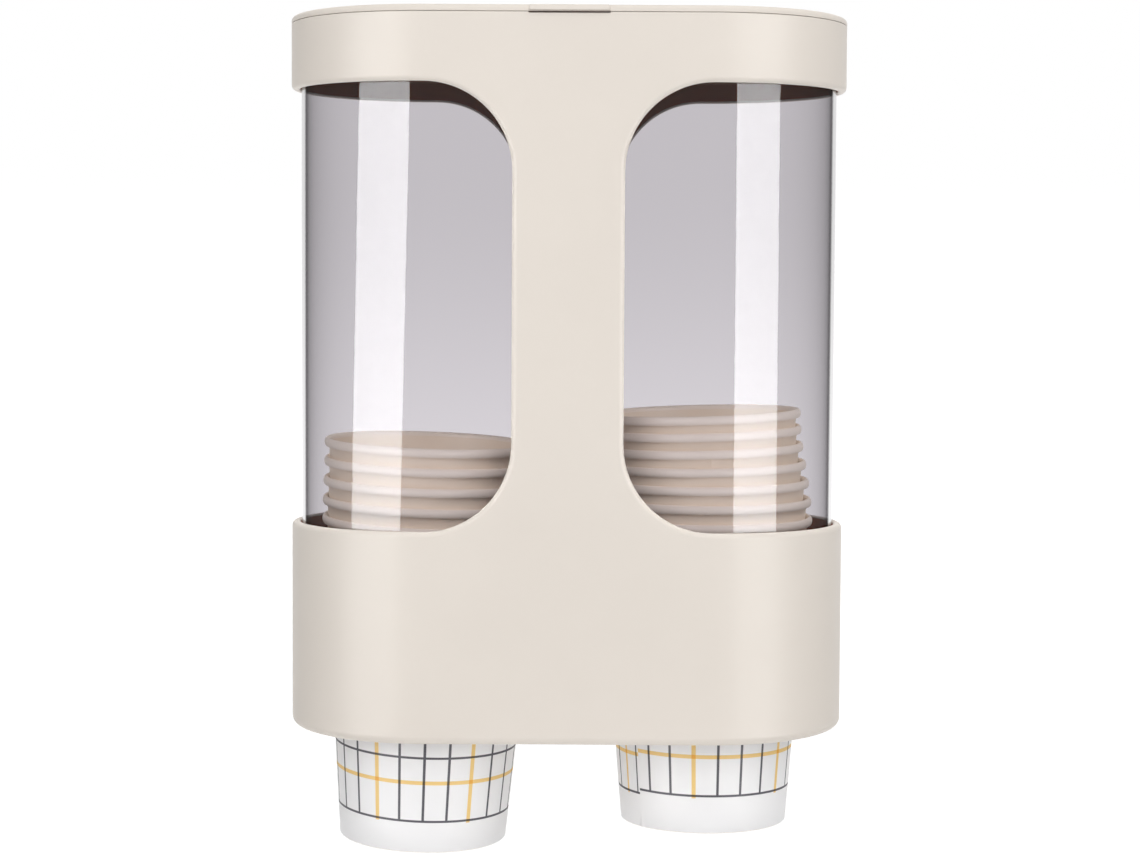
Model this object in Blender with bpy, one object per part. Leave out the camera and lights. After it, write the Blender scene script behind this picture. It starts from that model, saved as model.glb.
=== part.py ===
# Wall-hung twin paper-cup dispenser, modelled at its real size in metres, +Z up.
# The origin is the centre of the wall pad's rear face, and the front faces -Y.
# The housing and all it holds are laid out in the housing's own frame: x to the right,
# y to the rear from mid-depth, z up from the foot.

import math

import bmesh
import bpy
from mathutils import Matrix, Vector

# Plan of the housing: two round ends joined by a straight stretch
END_RADIUS = 0.050
HALF_FLAT = 0.050
END_FACETS = 16
HOLE_FACETS = 24
BOSS_FACETS = 10
SCREW_FACETS = 8
WINDOW_FACETS = 8
TINY = 0.000001

# Housing shells
BODY_HEIGHT = 0.2525
WALL = 0.003
SPLIT_GAP = 0.0003
WINDOW_SILL = 0.074
WINDOW_HEAD = 0.229
SPINE_HALF = 0.01935
WINDOW_ROUND = 0.0022
FOOT_ROUND = 0.004
FLANGE_TOP = 0.0026
LEDGE_DEPTH = 0.006
DECK_LEDGE = (0.0381, 0.0408)
MOUTH_LEDGE = (0.2478, 0.2496)
MOUTH_LEDGE_DEPTH = 0.0046

# Air left between pieces that touch
FIT = 0.0003

# Cups
CUP_X = 0.0505
CUP_HEIGHT = 0.0835
CUP_FOOT_RADIUS = 0.0301
CUP_TAPER = 0.0735
CUP_PAPER = 0.00025
CUP_FLOOR = 0.0051
CUP_RIM_RADIUS = 0.0377
CUP_RIM_HEIGHT = 0.0026
CUP_RIM_BELLY = 0.0008
CUP_RIM_LIP = 0.0006
CUP_SKIRT = 0.0006
CUP_FACETS = 16
LEFT_CUPS = 10
LEFT_FOOT = -0.0419
LEFT_PITCH = 0.0067
LEFT_DROP = 0.0012
RIGHT_CUPS = 11
RIGHT_FOOT = -0.0349
RIGHT_PITCH = 0.00695
RIGHT_SETTLING = 0.0000135

# Cup deck, gaskets and clamp
DECK_OFFSET = 0.0034
DECK_BOTTOM = 0.0411
DECK_TOP = 0.0438
DECK_HOLE_RADIUS = 0.0398
DECK_LIP = (0.0059, 0.0074)
DECK_LIP_TOP = 0.0485
GASKET_RADIUS = 0.0418
GASKET_TIP_RADIUS = 0.0365
GASKET_ROOT_RADIUS = 0.0394
GASKET_THICKNESS = 0.0013
GASKET_FINGERS = 12
GASKET_SLIT = math.radians(1.6)
CLAMP_OFFSET = 0.0077
CLAMP_THICKNESS = 0.0020
CLAMP_SCREW_Y = (-0.030, 0.0, 0.030)
CLAMP_POST_RADIUS = 0.0032
CLAMP_POST_BOTTOM = 0.033
CLAMP_POST_CAP = 0.001

# Bottom cover and its screws
COVER_BOTTOM = 0.0029
COVER_TOP = 0.0054
OUTLET_RADIUS = 0.0394
OUTLET_WALL = 0.0016
OUTLET_TOP = 0.0380
COVER_POST_XY = (0.013, 0.032)
COVER_POST_RADIUS = 0.0035
COVER_PILOT_DEPTH = 0.012
COVER_SCREW_REACH = 0.009

# Cup tube and the frame round its mouth
TUBE_OFFSET = 0.00352
TUBE_WALL = 0.0020
TUBE_TOP = 0.2392
FRAME_TOP = 0.2472
FRAME_LIP_BOTTOM = 0.2360
FRAME_CHAMFER = (0.001, 0.002)

# Lid and its hinge
LID_BOTTOM = 0.2528
LID_THICKNESS = 0.0022
LID_ROUND = 0.0015
LID_RIB_OFFSET = (0.0050, 0.0064)
LID_RIB_DROP = 0.0034
TAB_HALF = 0.0140
TAB_PROUD = 0.0009
NOTCH_DEPTH = 0.0005
HINGE_Y = END_RADIUS
HINGE_Z = 0.25265
HINGE_X = 0.030
KNUCKLE_RADIUS = 0.0024
KNUCKLE_CLEARANCE = 0.00035
LID_KNUCKLE_HALF = 0.0057
SHELL_KNUCKLE_SPAN = (0.0061, 0.0120)
PIN_RADIUS = 0.0010
PIN_HALF = 0.0117
PIN_HOLE_RADIUS = 0.0012

# Screws that join the shells, on the centre line
SHELL_SCREW_Z = (0.012, 0.0255, 0.2449)
BOSS_RADIUS = 0.0034
COUNTERBORE_RADIUS = 0.0026
COUNTERBORE_Y = 0.008
SCREW_RADIUS = 0.0011
SCREW_CLEARANCE_RADIUS = 0.0015
PILOT_RADIUS = 0.00135
SCREW_HEAD_RADIUS = 0.0022
SCREW_HEAD_HEIGHT = 0.0016

# Wall bracket: a T-shaped rail that the channel on the rear shell drops over
STANDOFF = 0.008
BRACKET_HEIGHT_ON_BODY = 0.140
PAD_SIZE = (0.028, 0.104)
PAD_THICKNESS = 0.0007
FOOT_PLATE_SIZE = (0.032, 0.112)
FOOT_PLATE_THICKNESS = 0.0020
PLATE_CORNER = 0.004
HEAD_HALF = 0.0132
NECK_HALF = 0.0080
HEAD_Y = (0.0506, 0.0526)
RAIL_Z = (0.1310, 0.1757)
CHANNEL_HALF = 0.0162
CHANNEL_TOP = 0.1800
CHANNEL_LIP_Y = (0.0529, 0.0547)
CHANNEL_LIP_HALF = 0.0086
CHANNEL_WEB_HALF = 0.0136
WALL_SCREW_Z = (0.046, -0.046)
WALL_SCREW_RADIUS = 0.0023
WALL_SCREW_HEAD_RADIUS = 0.0042

HOUSING_ORIGIN = Vector((0.0, -(END_RADIUS + STANDOFF), -BRACKET_HEIGHT_ON_BODY))

FINISHES = {
    "cream_shell": {"colour": (0.80, 0.74, 0.66), "roughness": 0.38},
    "smoked_tube": {"colour": (0.55, 0.53, 0.55), "roughness": 0.05, "transmission": 1.0},
    "inner_plastic": {"colour": (0.20, 0.11, 0.075), "roughness": 0.50},
    "silicone": {"colour": (0.78, 0.77, 0.74), "roughness": 0.60},
    "cup_paper": {"colour": (0.86, 0.84, 0.84), "roughness": 0.70},
    "screw_steel": {"colour": (0.60, 0.60, 0.61), "roughness": 0.30, "metallic": 1.0},
    "pad_foam": {"colour": (0.75, 0.75, 0.75), "roughness": 0.80},
}


# Scene helpers

def clear_scene():
    for item in list(bpy.data.objects):
        bpy.data.objects.remove(item, do_unlink=True)


def make_material(name):
    finish = FINISHES[name]
    material = bpy.data.materials.get(name) or bpy.data.materials.new(name)
    material.use_nodes = True
    shader = material.node_tree.nodes["Principled BSDF"]
    shader.inputs["Base Color"].default_value = (*finish["colour"], 1.0)
    shader.inputs["Roughness"].default_value = finish["roughness"]
    shader.inputs["Metallic"].default_value = finish.get("metallic", 0.0)
    shader.inputs["Transmission Weight"].default_value = finish.get("transmission", 0.0)
    return material


def add_empty(name, location, parent=None):
    empty = bpy.data.objects.new(name, None)
    empty.location = location
    empty.parent = parent
    bpy.context.scene.collection.objects.link(empty)
    return empty


def add_part(name, bm, finish, parent, pivot=(0.0, 0.0, 0.0)):
    # The solid is laid out in the housing's frame; a parent on a joint axis sits at the pivot
    bmesh.ops.recalc_face_normals(bm, faces=bm.faces)
    mesh = bpy.data.meshes.new(name)
    bm.to_mesh(mesh)
    bm.free()
    mesh.materials.append(make_material(finish))
    mesh.shade_smooth()
    mesh.set_sharp_from_angle(angle=math.radians(30))
    part = bpy.data.objects.new(name, mesh)
    part.parent = parent
    part.location = -Vector(pivot)
    bpy.context.scene.collection.objects.link(part)
    return part


def apply_tool(part, bm, operation):
    # A hidden wire-frame solid that a Boolean modifier adds to the part or cuts from it
    bmesh.ops.recalc_face_normals(bm, faces=bm.faces)
    name = f"{part.name}_tool_{len(part.modifiers) + 1}"
    mesh = bpy.data.meshes.new(name)
    bm.to_mesh(mesh)
    bm.free()
    tool = bpy.data.objects.new(name, mesh)
    tool.parent = part.parent
    tool.location = part.location
    tool.display_type = "WIRE"
    tool.hide_render = True
    bpy.context.scene.collection.objects.link(tool)
    modifier = part.modifiers.new(name, "BOOLEAN")
    modifier.operation = operation
    modifier.solver = "EXACT"
    modifier.object = tool


# Outlines in plan

def stadium(offset, facets=END_FACETS):
    # The housing's plan moved in by the offset, anticlockwise from the front right
    radius = END_RADIUS - offset
    points = []
    for side, start in ((1, -90.0), (-1, 90.0)):
        for step in range(facets + 1):
            angle = math.radians(start + 180.0 * step / facets)
            points.append((side * HALF_FLAT + radius * math.cos(angle), radius * math.sin(angle)))
    return points


def circle(centre, radius, facets):
    points = []
    for step in range(facets):
        angle = 2.0 * math.pi * (step + 0.5) / facets
        points.append((centre[0] + radius * math.cos(angle), centre[1] + radius * math.sin(angle)))
    return points


def rounded_rectangle(width, height, corner, facets=4):
    points = []
    for x_side, y_side, start in ((1, -1, -90.0), (1, 1, 0.0), (-1, 1, 90.0), (-1, -1, 180.0)):
        centre_x = x_side * (width / 2 - corner)
        centre_y = y_side * (height / 2 - corner)
        for step in range(facets + 1):
            angle = math.radians(start + 90.0 * step / facets)
            points.append((centre_x + corner * math.cos(angle), centre_y + corner * math.sin(angle)))
    return points


# Solids

def lift_faces(bm, faces, height):
    edges = {edge for face in faces for edge in face.edges}
    grown = bmesh.ops.extrude_face_region(bm, geom=faces + list(edges))
    lifted = [item for item in grown["geom"] if isinstance(item, bmesh.types.BMVert)]
    bmesh.ops.translate(bm, vec=(0.0, 0.0, height), verts=lifted)


def plate(outline, holes, bottom, top, walls=()):
    # A flat plate of any outline with any number of holes through it. Each wall is given as
    # its outer and inner outlines, its height and whether the plate is open inside it.
    bm = bmesh.new()

    def draw(points):
        verts = [bm.verts.new((x, y, bottom)) for x, y in points]
        return verts, [bm.edges.new((verts[i - 1], verts[i])) for i in range(len(verts))]

    boundary = [edge for loop in (outline, *holes) for edge in draw(loop)[1]]
    for mark, (outer, inner, _, is_open) in enumerate(walls, 1):
        outer_verts, outer_edges = draw(outer)
        inner_verts, inner_edges = draw(inner)
        boundary += outer_edges if is_open else outer_edges + inner_edges
        for i in range(len(outer_verts)):
            strip = bm.faces.new((outer_verts[i - 1], outer_verts[i], inner_verts[i], inner_verts[i - 1]))
            strip.material_index = mark
    bmesh.ops.triangle_fill(bm, use_beauty=True, use_dissolve=False, edges=boundary)
    grown = bmesh.ops.extrude_face_region(bm, geom=bm.faces[:])
    lifted = [item for item in grown["geom"] if isinstance(item, bmesh.types.BMVert)]
    bmesh.ops.translate(bm, vec=(0.0, 0.0, top - bottom), verts=lifted)
    for mark, (_, _, wall_top, _) in enumerate(walls, 1):
        crest = [face for face in bm.faces if face.material_index == mark
                 and all(vert.co.z > (bottom + top) / 2 for vert in face.verts)]
        lift_faces(bm, crest, wall_top - top)
    for face in bm.faces:
        face.material_index = 0
    return bm


def skin(rings, capped):
    # Quads between rings of points; the ends are capped, or the last ring meets the first
    bm = bmesh.new()
    loops = [[bm.verts.new(point) for point in ring] for ring in rings]
    count = len(loops[0])
    pairs = len(loops) - 1 if capped else len(loops)
    for level in range(pairs):
        lower = loops[level]
        upper = loops[(level + 1) % len(loops)]
        for i in range(count):
            j = (i + 1) % count
            bm.faces.new((lower[i], lower[j], upper[j], upper[i]))
    if capped:
        bm.faces.new(reversed(loops[0]))
        bm.faces.new(loops[-1])
    return bm


def stadium_ring(profile):
    # A closed profile of (offset, height) carried round the housing's plan
    return skin([[(x, y, z) for x, y in stadium(offset)] for offset, z in profile], capped=False)


def stadium_slab(levels):
    # A solid slab through plan outlines of (offset, height), lowest first
    return skin([[(x, y, z) for x, y in stadium(offset)] for offset, z in levels], capped=True)


def turned(profile, centre, facets):
    # A profile of (radius, height) turned once about the vertical through the centre
    bm = bmesh.new()
    verts = [bm.verts.new((centre[0] + radius, centre[1], z)) for radius, z in profile]
    edges = [bm.edges.new(pair) for pair in zip(verts, verts[1:])]
    bmesh.ops.spin(bm, geom=verts + edges, cent=(*centre, 0.0), axis=(0.0, 0.0, 1.0),
                   angle=2.0 * math.pi, steps=facets, use_merge=True)
    bmesh.ops.remove_doubles(bm, verts=bm.verts, dist=TINY)
    return bm


def rod(start, end, radius, facets=BOSS_FACETS, end_radius=None):
    # A round bar, or a cone where the end radius differs, between two points
    start = Vector(start)
    end = Vector(end)
    bm = bmesh.new()
    bmesh.ops.create_cone(bm, cap_ends=True, segments=facets, radius1=radius,
                          radius2=radius if end_radius is None else end_radius,
                          depth=(end - start).length)
    turn = (end - start).to_track_quat("Z", "Y").to_matrix().to_4x4()
    bmesh.ops.transform(bm, matrix=Matrix.Translation((start + end) / 2) @ turn, verts=bm.verts)
    return bm


def block(low, high):
    low = Vector(low)
    high = Vector(high)
    bm = bmesh.new()
    bmesh.ops.create_cube(bm, size=1.0)
    bmesh.ops.scale(bm, vec=high - low, verts=bm.verts)
    bmesh.ops.translate(bm, vec=(low + high) / 2, verts=bm.verts)
    return bm


# Housing shells

def shell_outline():
    # One half of the shell rolled out flat as (run, height): base, spine and top band,
    # with the two windows running off its ends
    end = HALF_FLAT + END_RADIUS * math.pi / 2 - SPLIT_GAP / 2
    corner = HALF_FLAT - SPINE_HALF
    right = [(end, 0.0), (end, WINDOW_SILL)]
    for step in range(WINDOW_FACETS + 1):
        angle = math.radians(-90.0 - 90.0 * step / WINDOW_FACETS)
        right.append((HALF_FLAT + corner * math.cos(angle), WINDOW_SILL + corner * (1 + math.sin(angle))))
    for step in range(WINDOW_FACETS + 1):
        angle = math.radians(180.0 - 90.0 * step / WINDOW_FACETS)
        right.append((HALF_FLAT + corner * math.cos(angle), WINDOW_HEAD - corner * (1 - math.sin(angle))))
    right += [(end, WINDOW_HEAD), (end, BODY_HEIGHT)]
    return right + [(-run, height) for run, height in reversed(right)]


def wrap_point(run, depth, height, side):
    # From the rolled-out shell to the plan: the front is side -1 and the rear is side +1
    radius = END_RADIUS - depth
    angle = max(abs(run) - HALF_FLAT, 0.0) / END_RADIUS
    x = min(abs(run), HALF_FLAT) + radius * math.sin(angle)
    return (math.copysign(x, run), side * radius * math.cos(angle), height)


def pull_ledge(bm, bottom, top, depth):
    # Part of the inner face between two heights, drawn further into the housing
    for height in (bottom, top):
        inner = [face for face in bm.faces if face.normal.y > 0.9]
        edges = {edge for face in inner for edge in face.edges}
        verts = {vert for face in inner for vert in face.verts}
        bmesh.ops.bisect_plane(bm, geom=inner + list(edges) + list(verts), dist=TINY,
                               plane_co=(0.0, 0.0, height), plane_no=(0.0, 0.0, 1.0))
        bm.normal_update()
    strip = [face for face in bm.faces
             if face.normal.y > 0.9 and bottom < face.calc_center_median().z < top]
    strip_edges = {edge for face in strip for edge in face.edges}
    grown = bmesh.ops.extrude_face_region(bm, geom=strip + list(strip_edges))
    moved = [item for item in grown["geom"] if isinstance(item, bmesh.types.BMVert)]
    bmesh.ops.translate(bm, vec=(0.0, depth - WALL, 0.0), verts=moved)
    bm.normal_update()


def round_face_edges(bm, low, high, radius, segments):
    # Rounds the outer face's edges that lie between two heights of the rolled-out shell
    edges = [edge for edge in bm.edges
             if all(abs(vert.co.y) < TINY and low - TINY < vert.co.z < high + TINY for vert in edge.verts)]
    bmesh.ops.bevel(bm, geom=edges, offset=radius, segments=segments, profile=0.5,
                    affect="EDGES", clamp_overlap=True)
    bm.normal_update()


def half_shell(side):
    bm = bmesh.new()
    face = bm.faces.new([bm.verts.new((run, 0.0, height)) for run, height in shell_outline()])
    grown = bmesh.ops.extrude_face_region(bm, geom=[face])
    moved = [item for item in grown["geom"] if isinstance(item, bmesh.types.BMVert)]
    bmesh.ops.translate(bm, vec=(0.0, WALL, 0.0), verts=moved)
    bmesh.ops.recalc_face_normals(bm, faces=bm.faces)
    bm.normal_update()
    pull_ledge(bm, -FIT, FLANGE_TOP, LEDGE_DEPTH)
    pull_ledge(bm, *DECK_LEDGE, LEDGE_DEPTH)
    pull_ledge(bm, *MOUTH_LEDGE, MOUTH_LEDGE_DEPTH)
    round_face_edges(bm, WINDOW_SILL, WINDOW_HEAD, WINDOW_ROUND, 2)
    round_face_edges(bm, 0.0, 0.0, FOOT_ROUND, 3)
    half_turn = END_FACETS // 2
    for step in range(half_turn):
        run = HALF_FLAT + END_RADIUS * math.pi / 2 * step / half_turn
        for plane_run in (run, -run):
            bmesh.ops.bisect_plane(bm, geom=bm.verts[:] + bm.edges[:] + bm.faces[:], dist=TINY,
                                   plane_co=(plane_run, 0.0, 0.0), plane_no=(1.0, 0.0, 0.0))
    for vert in bm.verts:
        vert.co = wrap_point(vert.co.x, vert.co.y, vert.co.z, side)
    return bm


def add_bosses(shell, side):
    # Screw bosses on the centre line: the rear ones are counterbored, the front ones blind
    inside_wall = side * (END_RADIUS - WALL / 2)
    for z in SHELL_SCREW_Z:
        apply_tool(shell, rod((0, inside_wall, z), (0, side * FIT / 2, z), BOSS_RADIUS), "UNION")
        if side > 0:
            apply_tool(shell, rod((0, END_RADIUS + WALL, z), (0, COUNTERBORE_Y, z), COUNTERBORE_RADIUS),
                       "DIFFERENCE")
            apply_tool(shell, rod((0, 2 * COUNTERBORE_Y, z), (0, -WALL, z), SCREW_CLEARANCE_RADIUS),
                       "DIFFERENCE")
        else:
            apply_tool(shell, rod((0, WALL, z), (0, -2 * COUNTERBORE_Y, z), PILOT_RADIUS), "DIFFERENCE")


def knuckle(side, start, end, radius):
    # A stretch of the hinge barrel, measured along the axis from the hinge's middle
    return rod((side * HINGE_X + start, HINGE_Y, HINGE_Z), (side * HINGE_X + end, HINGE_Y, HINGE_Z), radius)


def add_front_shell(parent):
    shell = add_part("front_shell", half_shell(-1), "cream_shell", parent)
    add_bosses(shell, -1)
    notch = block((-TAB_HALF, -END_RADIUS - WALL, BODY_HEIGHT - NOTCH_DEPTH),
                  (TAB_HALF, -END_RADIUS + 0.6 * WALL, BODY_HEIGHT + WALL))
    apply_tool(shell, notch, "DIFFERENCE")


def add_rear_shell(parent):
    shell = add_part("rear_shell", half_shell(1), "cream_shell", parent)
    add_bosses(shell, 1)
    root_y = END_RADIUS - WALL / 2
    for side in (-1, 1):
        rail = [(side * CHANNEL_HALF, root_y), (side * CHANNEL_HALF, CHANNEL_LIP_Y[1]),
                (side * CHANNEL_LIP_HALF, CHANNEL_LIP_Y[1]), (side * CHANNEL_LIP_HALF, CHANNEL_LIP_Y[0]),
                (side * CHANNEL_WEB_HALF, CHANNEL_LIP_Y[0]), (side * CHANNEL_WEB_HALF, root_y)]
        apply_tool(shell, plate(rail, [], RAIL_Z[0], CHANNEL_TOP), "UNION")
    stop = block((-CHANNEL_HALF, root_y, RAIL_Z[1] + FIT), (CHANNEL_HALF, CHANNEL_LIP_Y[1], CHANNEL_TOP))
    apply_tool(shell, stop, "UNION")
    for side in (-1, 1):
        gap = LID_KNUCKLE_HALF + KNUCKLE_CLEARANCE
        apply_tool(shell, knuckle(side, -gap, gap, KNUCKLE_RADIUS + KNUCKLE_CLEARANCE), "DIFFERENCE")
        for end in (-1, 1):
            near, far = SHELL_KNUCKLE_SPAN
            apply_tool(shell, knuckle(side, end * near, end * far, KNUCKLE_RADIUS), "UNION")
        apply_tool(shell, knuckle(side, -2 * PIN_HALF, 2 * PIN_HALF, PIN_HOLE_RADIUS), "DIFFERENCE")


# Inside the housing

def add_deck(parent):
    holes = [circle((side * CUP_X, 0.0), DECK_HOLE_RADIUS, HOLE_FACETS) for side in (-1, 1)]
    lip = (stadium(DECK_LIP[0]), stadium(DECK_LIP[1]), DECK_LIP_TOP, False)
    deck = add_part("cup_deck", plate(stadium(DECK_OFFSET), holes, DECK_BOTTOM, DECK_TOP, [lip]),
                    "inner_plastic", parent)
    seat = DECK_TOP + FIT + GASKET_THICKNESS
    for y in CLAMP_SCREW_Y:
        apply_tool(deck, rod((0, y, CLAMP_POST_BOTTOM), (0, y, seat), CLAMP_POST_RADIUS), "UNION")
        pilot_end = (0, y, CLAMP_POST_BOTTOM + CLAMP_POST_CAP)
        apply_tool(deck, rod(pilot_end, (0, y, seat + WALL), PILOT_RADIUS, SCREW_FACETS), "DIFFERENCE")
    for x_side in (-1, 1):
        for y_side in (-1, 1):
            x = x_side * COVER_POST_XY[0]
            y = y_side * COVER_POST_XY[1]
            low = COVER_TOP + FIT
            apply_tool(deck, rod((x, y, low), (x, y, DECK_BOTTOM + FIT), COVER_POST_RADIUS), "UNION")
            pilot = rod((x, y, low - WALL), (x, y, low + COVER_PILOT_DEPTH), PILOT_RADIUS, SCREW_FACETS)
            apply_tool(deck, pilot, "DIFFERENCE")


def gasket_outline(centre):
    # Inner edge of the gasket: fingers that hold a cup under its rim, parted by slits
    points = []
    pitch = 2.0 * math.pi / GASKET_FINGERS
    for finger in range(GASKET_FINGERS):
        start = finger * pitch + GASKET_SLIT
        end = (finger + 1) * pitch - GASKET_SLIT
        middle = (start + end) / 2
        for angle, radius in ((start, GASKET_ROOT_RADIUS), (start, GASKET_TIP_RADIUS),
                              (middle, GASKET_TIP_RADIUS), (end, GASKET_TIP_RADIUS),
                              (end, GASKET_ROOT_RADIUS)):
            points.append((centre[0] + radius * math.cos(angle), centre[1] + radius * math.sin(angle)))
    return points


def add_gasket(name, side, parent):
    centre = (side * CUP_X, 0.0)
    bottom = DECK_TOP + FIT
    bm = plate(circle(centre, GASKET_RADIUS, HOLE_FACETS), [gasket_outline(centre)], bottom,
               bottom + GASKET_THICKNESS)
    add_part(name, bm, "silicone", parent)


def clamp_bottom():
    return DECK_TOP + GASKET_THICKNESS + 2 * FIT


def add_clamp(parent):
    holes = [circle((side * CUP_X, 0.0), DECK_HOLE_RADIUS, HOLE_FACETS) for side in (-1, 1)]
    holes += [circle((0.0, y), SCREW_CLEARANCE_RADIUS, SCREW_FACETS) for y in CLAMP_SCREW_Y]
    bottom = clamp_bottom()
    bm = plate(stadium(CLAMP_OFFSET), holes, bottom, bottom + CLAMP_THICKNESS)
    add_part("clamp_plate", bm, "inner_plastic", parent)


def add_cover(parent):
    # The underside, with a round guide for each stack of cups
    holes = []
    for x_side in (-1, 1):
        for y_side in (-1, 1):
            spot = (x_side * COVER_POST_XY[0], y_side * COVER_POST_XY[1])
            holes.append(circle(spot, SCREW_CLEARANCE_RADIUS, SCREW_FACETS))
    guides = []
    for side in (-1, 1):
        outer, inner = [circle((side * CUP_X, 0.0), radius, HOLE_FACETS)
                        for radius in (OUTLET_RADIUS + OUTLET_WALL, OUTLET_RADIUS)]
        guides.append((outer, inner, OUTLET_TOP, True))
    add_part("bottom_cover", plate(stadium(DECK_OFFSET), holes, COVER_BOTTOM, COVER_TOP, guides),
             "cream_shell", parent)


def add_tube(parent):
    bottom = DECK_TOP + FIT
    inner = TUBE_OFFSET + TUBE_WALL
    bm = stadium_ring([(TUBE_OFFSET, bottom), (inner, bottom), (inner, TUBE_TOP), (TUBE_OFFSET, TUBE_TOP)])
    add_part("cup_tube", bm, "smoked_tube", parent)


def add_mouth_frame(parent):
    # Sits on the tube's top edge under the shells' ledge, with a lip inside the tube
    seat = TUBE_TOP + FIT
    lip_outer, lip_inner = DECK_LIP
    bevel_in, bevel_down = FRAME_CHAMFER
    bm = stadium_ring([(DECK_OFFSET, seat), (lip_outer, seat), (lip_outer, FRAME_LIP_BOTTOM),
                       (lip_inner - 2 * FIT, FRAME_LIP_BOTTOM), (lip_inner, seat),
                       (lip_inner, FRAME_TOP - bevel_down), (lip_inner - bevel_in, FRAME_TOP),
                       (DECK_OFFSET, FRAME_TOP)])
    frame = add_part("mouth_frame", bm, "inner_plastic", parent)
    z = SHELL_SCREW_Z[-1]
    bar = rod((0, -END_RADIUS, z), (0, END_RADIUS, z), BOSS_RADIUS + FIT)
    apply_tool(frame, bar, "DIFFERENCE")


# Lid

def add_lid(parent):
    pivot = (0.0, HINGE_Y, HINGE_Z)
    hinge = add_empty("lid_hinge", pivot, parent)
    top = LID_BOTTOM + LID_THICKNESS
    shoulder = LID_ROUND * (1 - math.sqrt(0.5))
    bm = stadium_slab([(0.0, LID_BOTTOM), (0.0, top - LID_ROUND), (shoulder, top - shoulder),
                       (LID_ROUND, top)])
    lid = add_part("lid", bm, "cream_shell", hinge, pivot)
    root = LID_BOTTOM + LID_THICKNESS / 2
    outer, inner = LID_RIB_OFFSET
    rib = stadium_ring([(outer, root), (inner, root), (inner, LID_BOTTOM - LID_RIB_DROP),
                        (outer + FIT, LID_BOTTOM - LID_RIB_DROP)])
    apply_tool(lid, rib, "UNION")
    tab_low = Vector((-TAB_HALF, -END_RADIUS - TAB_PROUD, LID_BOTTOM + FIT))
    tab = block(tab_low, (TAB_HALF, -END_RADIUS + 3 * LID_ROUND, top))
    front_edges = [edge for edge in tab.edges if all(v.co.y < -END_RADIUS for v in edge.verts)
                   and max(v.co.z for v in edge.verts) > root]
    bmesh.ops.bevel(tab, geom=front_edges, offset=0.7 * TAB_PROUD, segments=2, profile=0.5, affect="EDGES")
    apply_tool(lid, tab, "UNION")
    for side in (-1, 1):
        for end in (-1, 1):
            near, far = SHELL_KNUCKLE_SPAN
            cut = knuckle(side, end * (near - KNUCKLE_CLEARANCE), end * (far + KNUCKLE_CLEARANCE),
                          KNUCKLE_RADIUS + KNUCKLE_CLEARANCE)
            apply_tool(lid, cut, "DIFFERENCE")
        apply_tool(lid, knuckle(side, -LID_KNUCKLE_HALF, LID_KNUCKLE_HALF, KNUCKLE_RADIUS), "UNION")
        apply_tool(lid, knuckle(side, -PIN_HALF, PIN_HALF, PIN_HOLE_RADIUS), "DIFFERENCE")


# Wall bracket

def standing_plate(size, thickness, rear_y):
    # A rounded plate that stands behind the housing, its rear face at the given depth
    bm = plate(rounded_rectangle(*size, PLATE_CORNER), [], 0.0, thickness)
    stand = Matrix.Rotation(math.pi / 2, 4, "X")
    bmesh.ops.transform(bm, matrix=Matrix.Translation((0, rear_y, BRACKET_HEIGHT_ON_BODY)) @ stand,
                        verts=bm.verts)
    return bm


def add_bracket(parent):
    wall_y = END_RADIUS + STANDOFF
    plate_y = wall_y - PAD_THICKNESS - FIT
    front = plate_y - FOOT_PLATE_THICKNESS
    add_part("wall_pad", standing_plate(PAD_SIZE, PAD_THICKNESS, wall_y), "pad_foam", parent)
    bracket = add_part("wall_bracket", standing_plate(FOOT_PLATE_SIZE, FOOT_PLATE_THICKNESS, plate_y),
                       "cream_shell", parent)
    neck_root = plate_y - FOOT_PLATE_THICKNESS / 2
    section = [(-HEAD_HALF, HEAD_Y[0]), (HEAD_HALF, HEAD_Y[0]), (HEAD_HALF, HEAD_Y[1]),
               (NECK_HALF, HEAD_Y[1]), (NECK_HALF, neck_root), (-NECK_HALF, neck_root),
               (-NECK_HALF, HEAD_Y[1]), (-HEAD_HALF, HEAD_Y[1])]
    apply_tool(bracket, plate(section, [], *RAIL_Z), "UNION")
    for z in WALL_SCREW_Z:
        height = BRACKET_HEIGHT_ON_BODY + z
        hole = rod((0, plate_y + WALL, height), (0, front - WALL, height), WALL_SCREW_RADIUS)
        apply_tool(bracket, hole, "DIFFERENCE")
        sink = rod((0, front - FIT, height), (0, plate_y - FIT, height), WALL_SCREW_HEAD_RADIUS,
                   end_radius=WALL_SCREW_RADIUS)
        apply_tool(bracket, sink, "DIFFERENCE")


# Fasteners

def add_screw(name, head_seat, point, parent):
    # A pan-head screw whose head rests at the seat and whose shank reaches the point
    seat = Vector(head_seat)
    tip = Vector(point)
    away = (seat - tip).normalized()
    head = rod(seat + away * FIT, seat + away * (FIT + SCREW_HEAD_HEIGHT), SCREW_HEAD_RADIUS)
    screw = add_part(name, head, "screw_steel", parent)
    shank = rod(seat + away * (FIT + SCREW_HEAD_HEIGHT / 2), tip, SCREW_RADIUS, SCREW_FACETS)
    apply_tool(screw, shank, "UNION")


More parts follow.
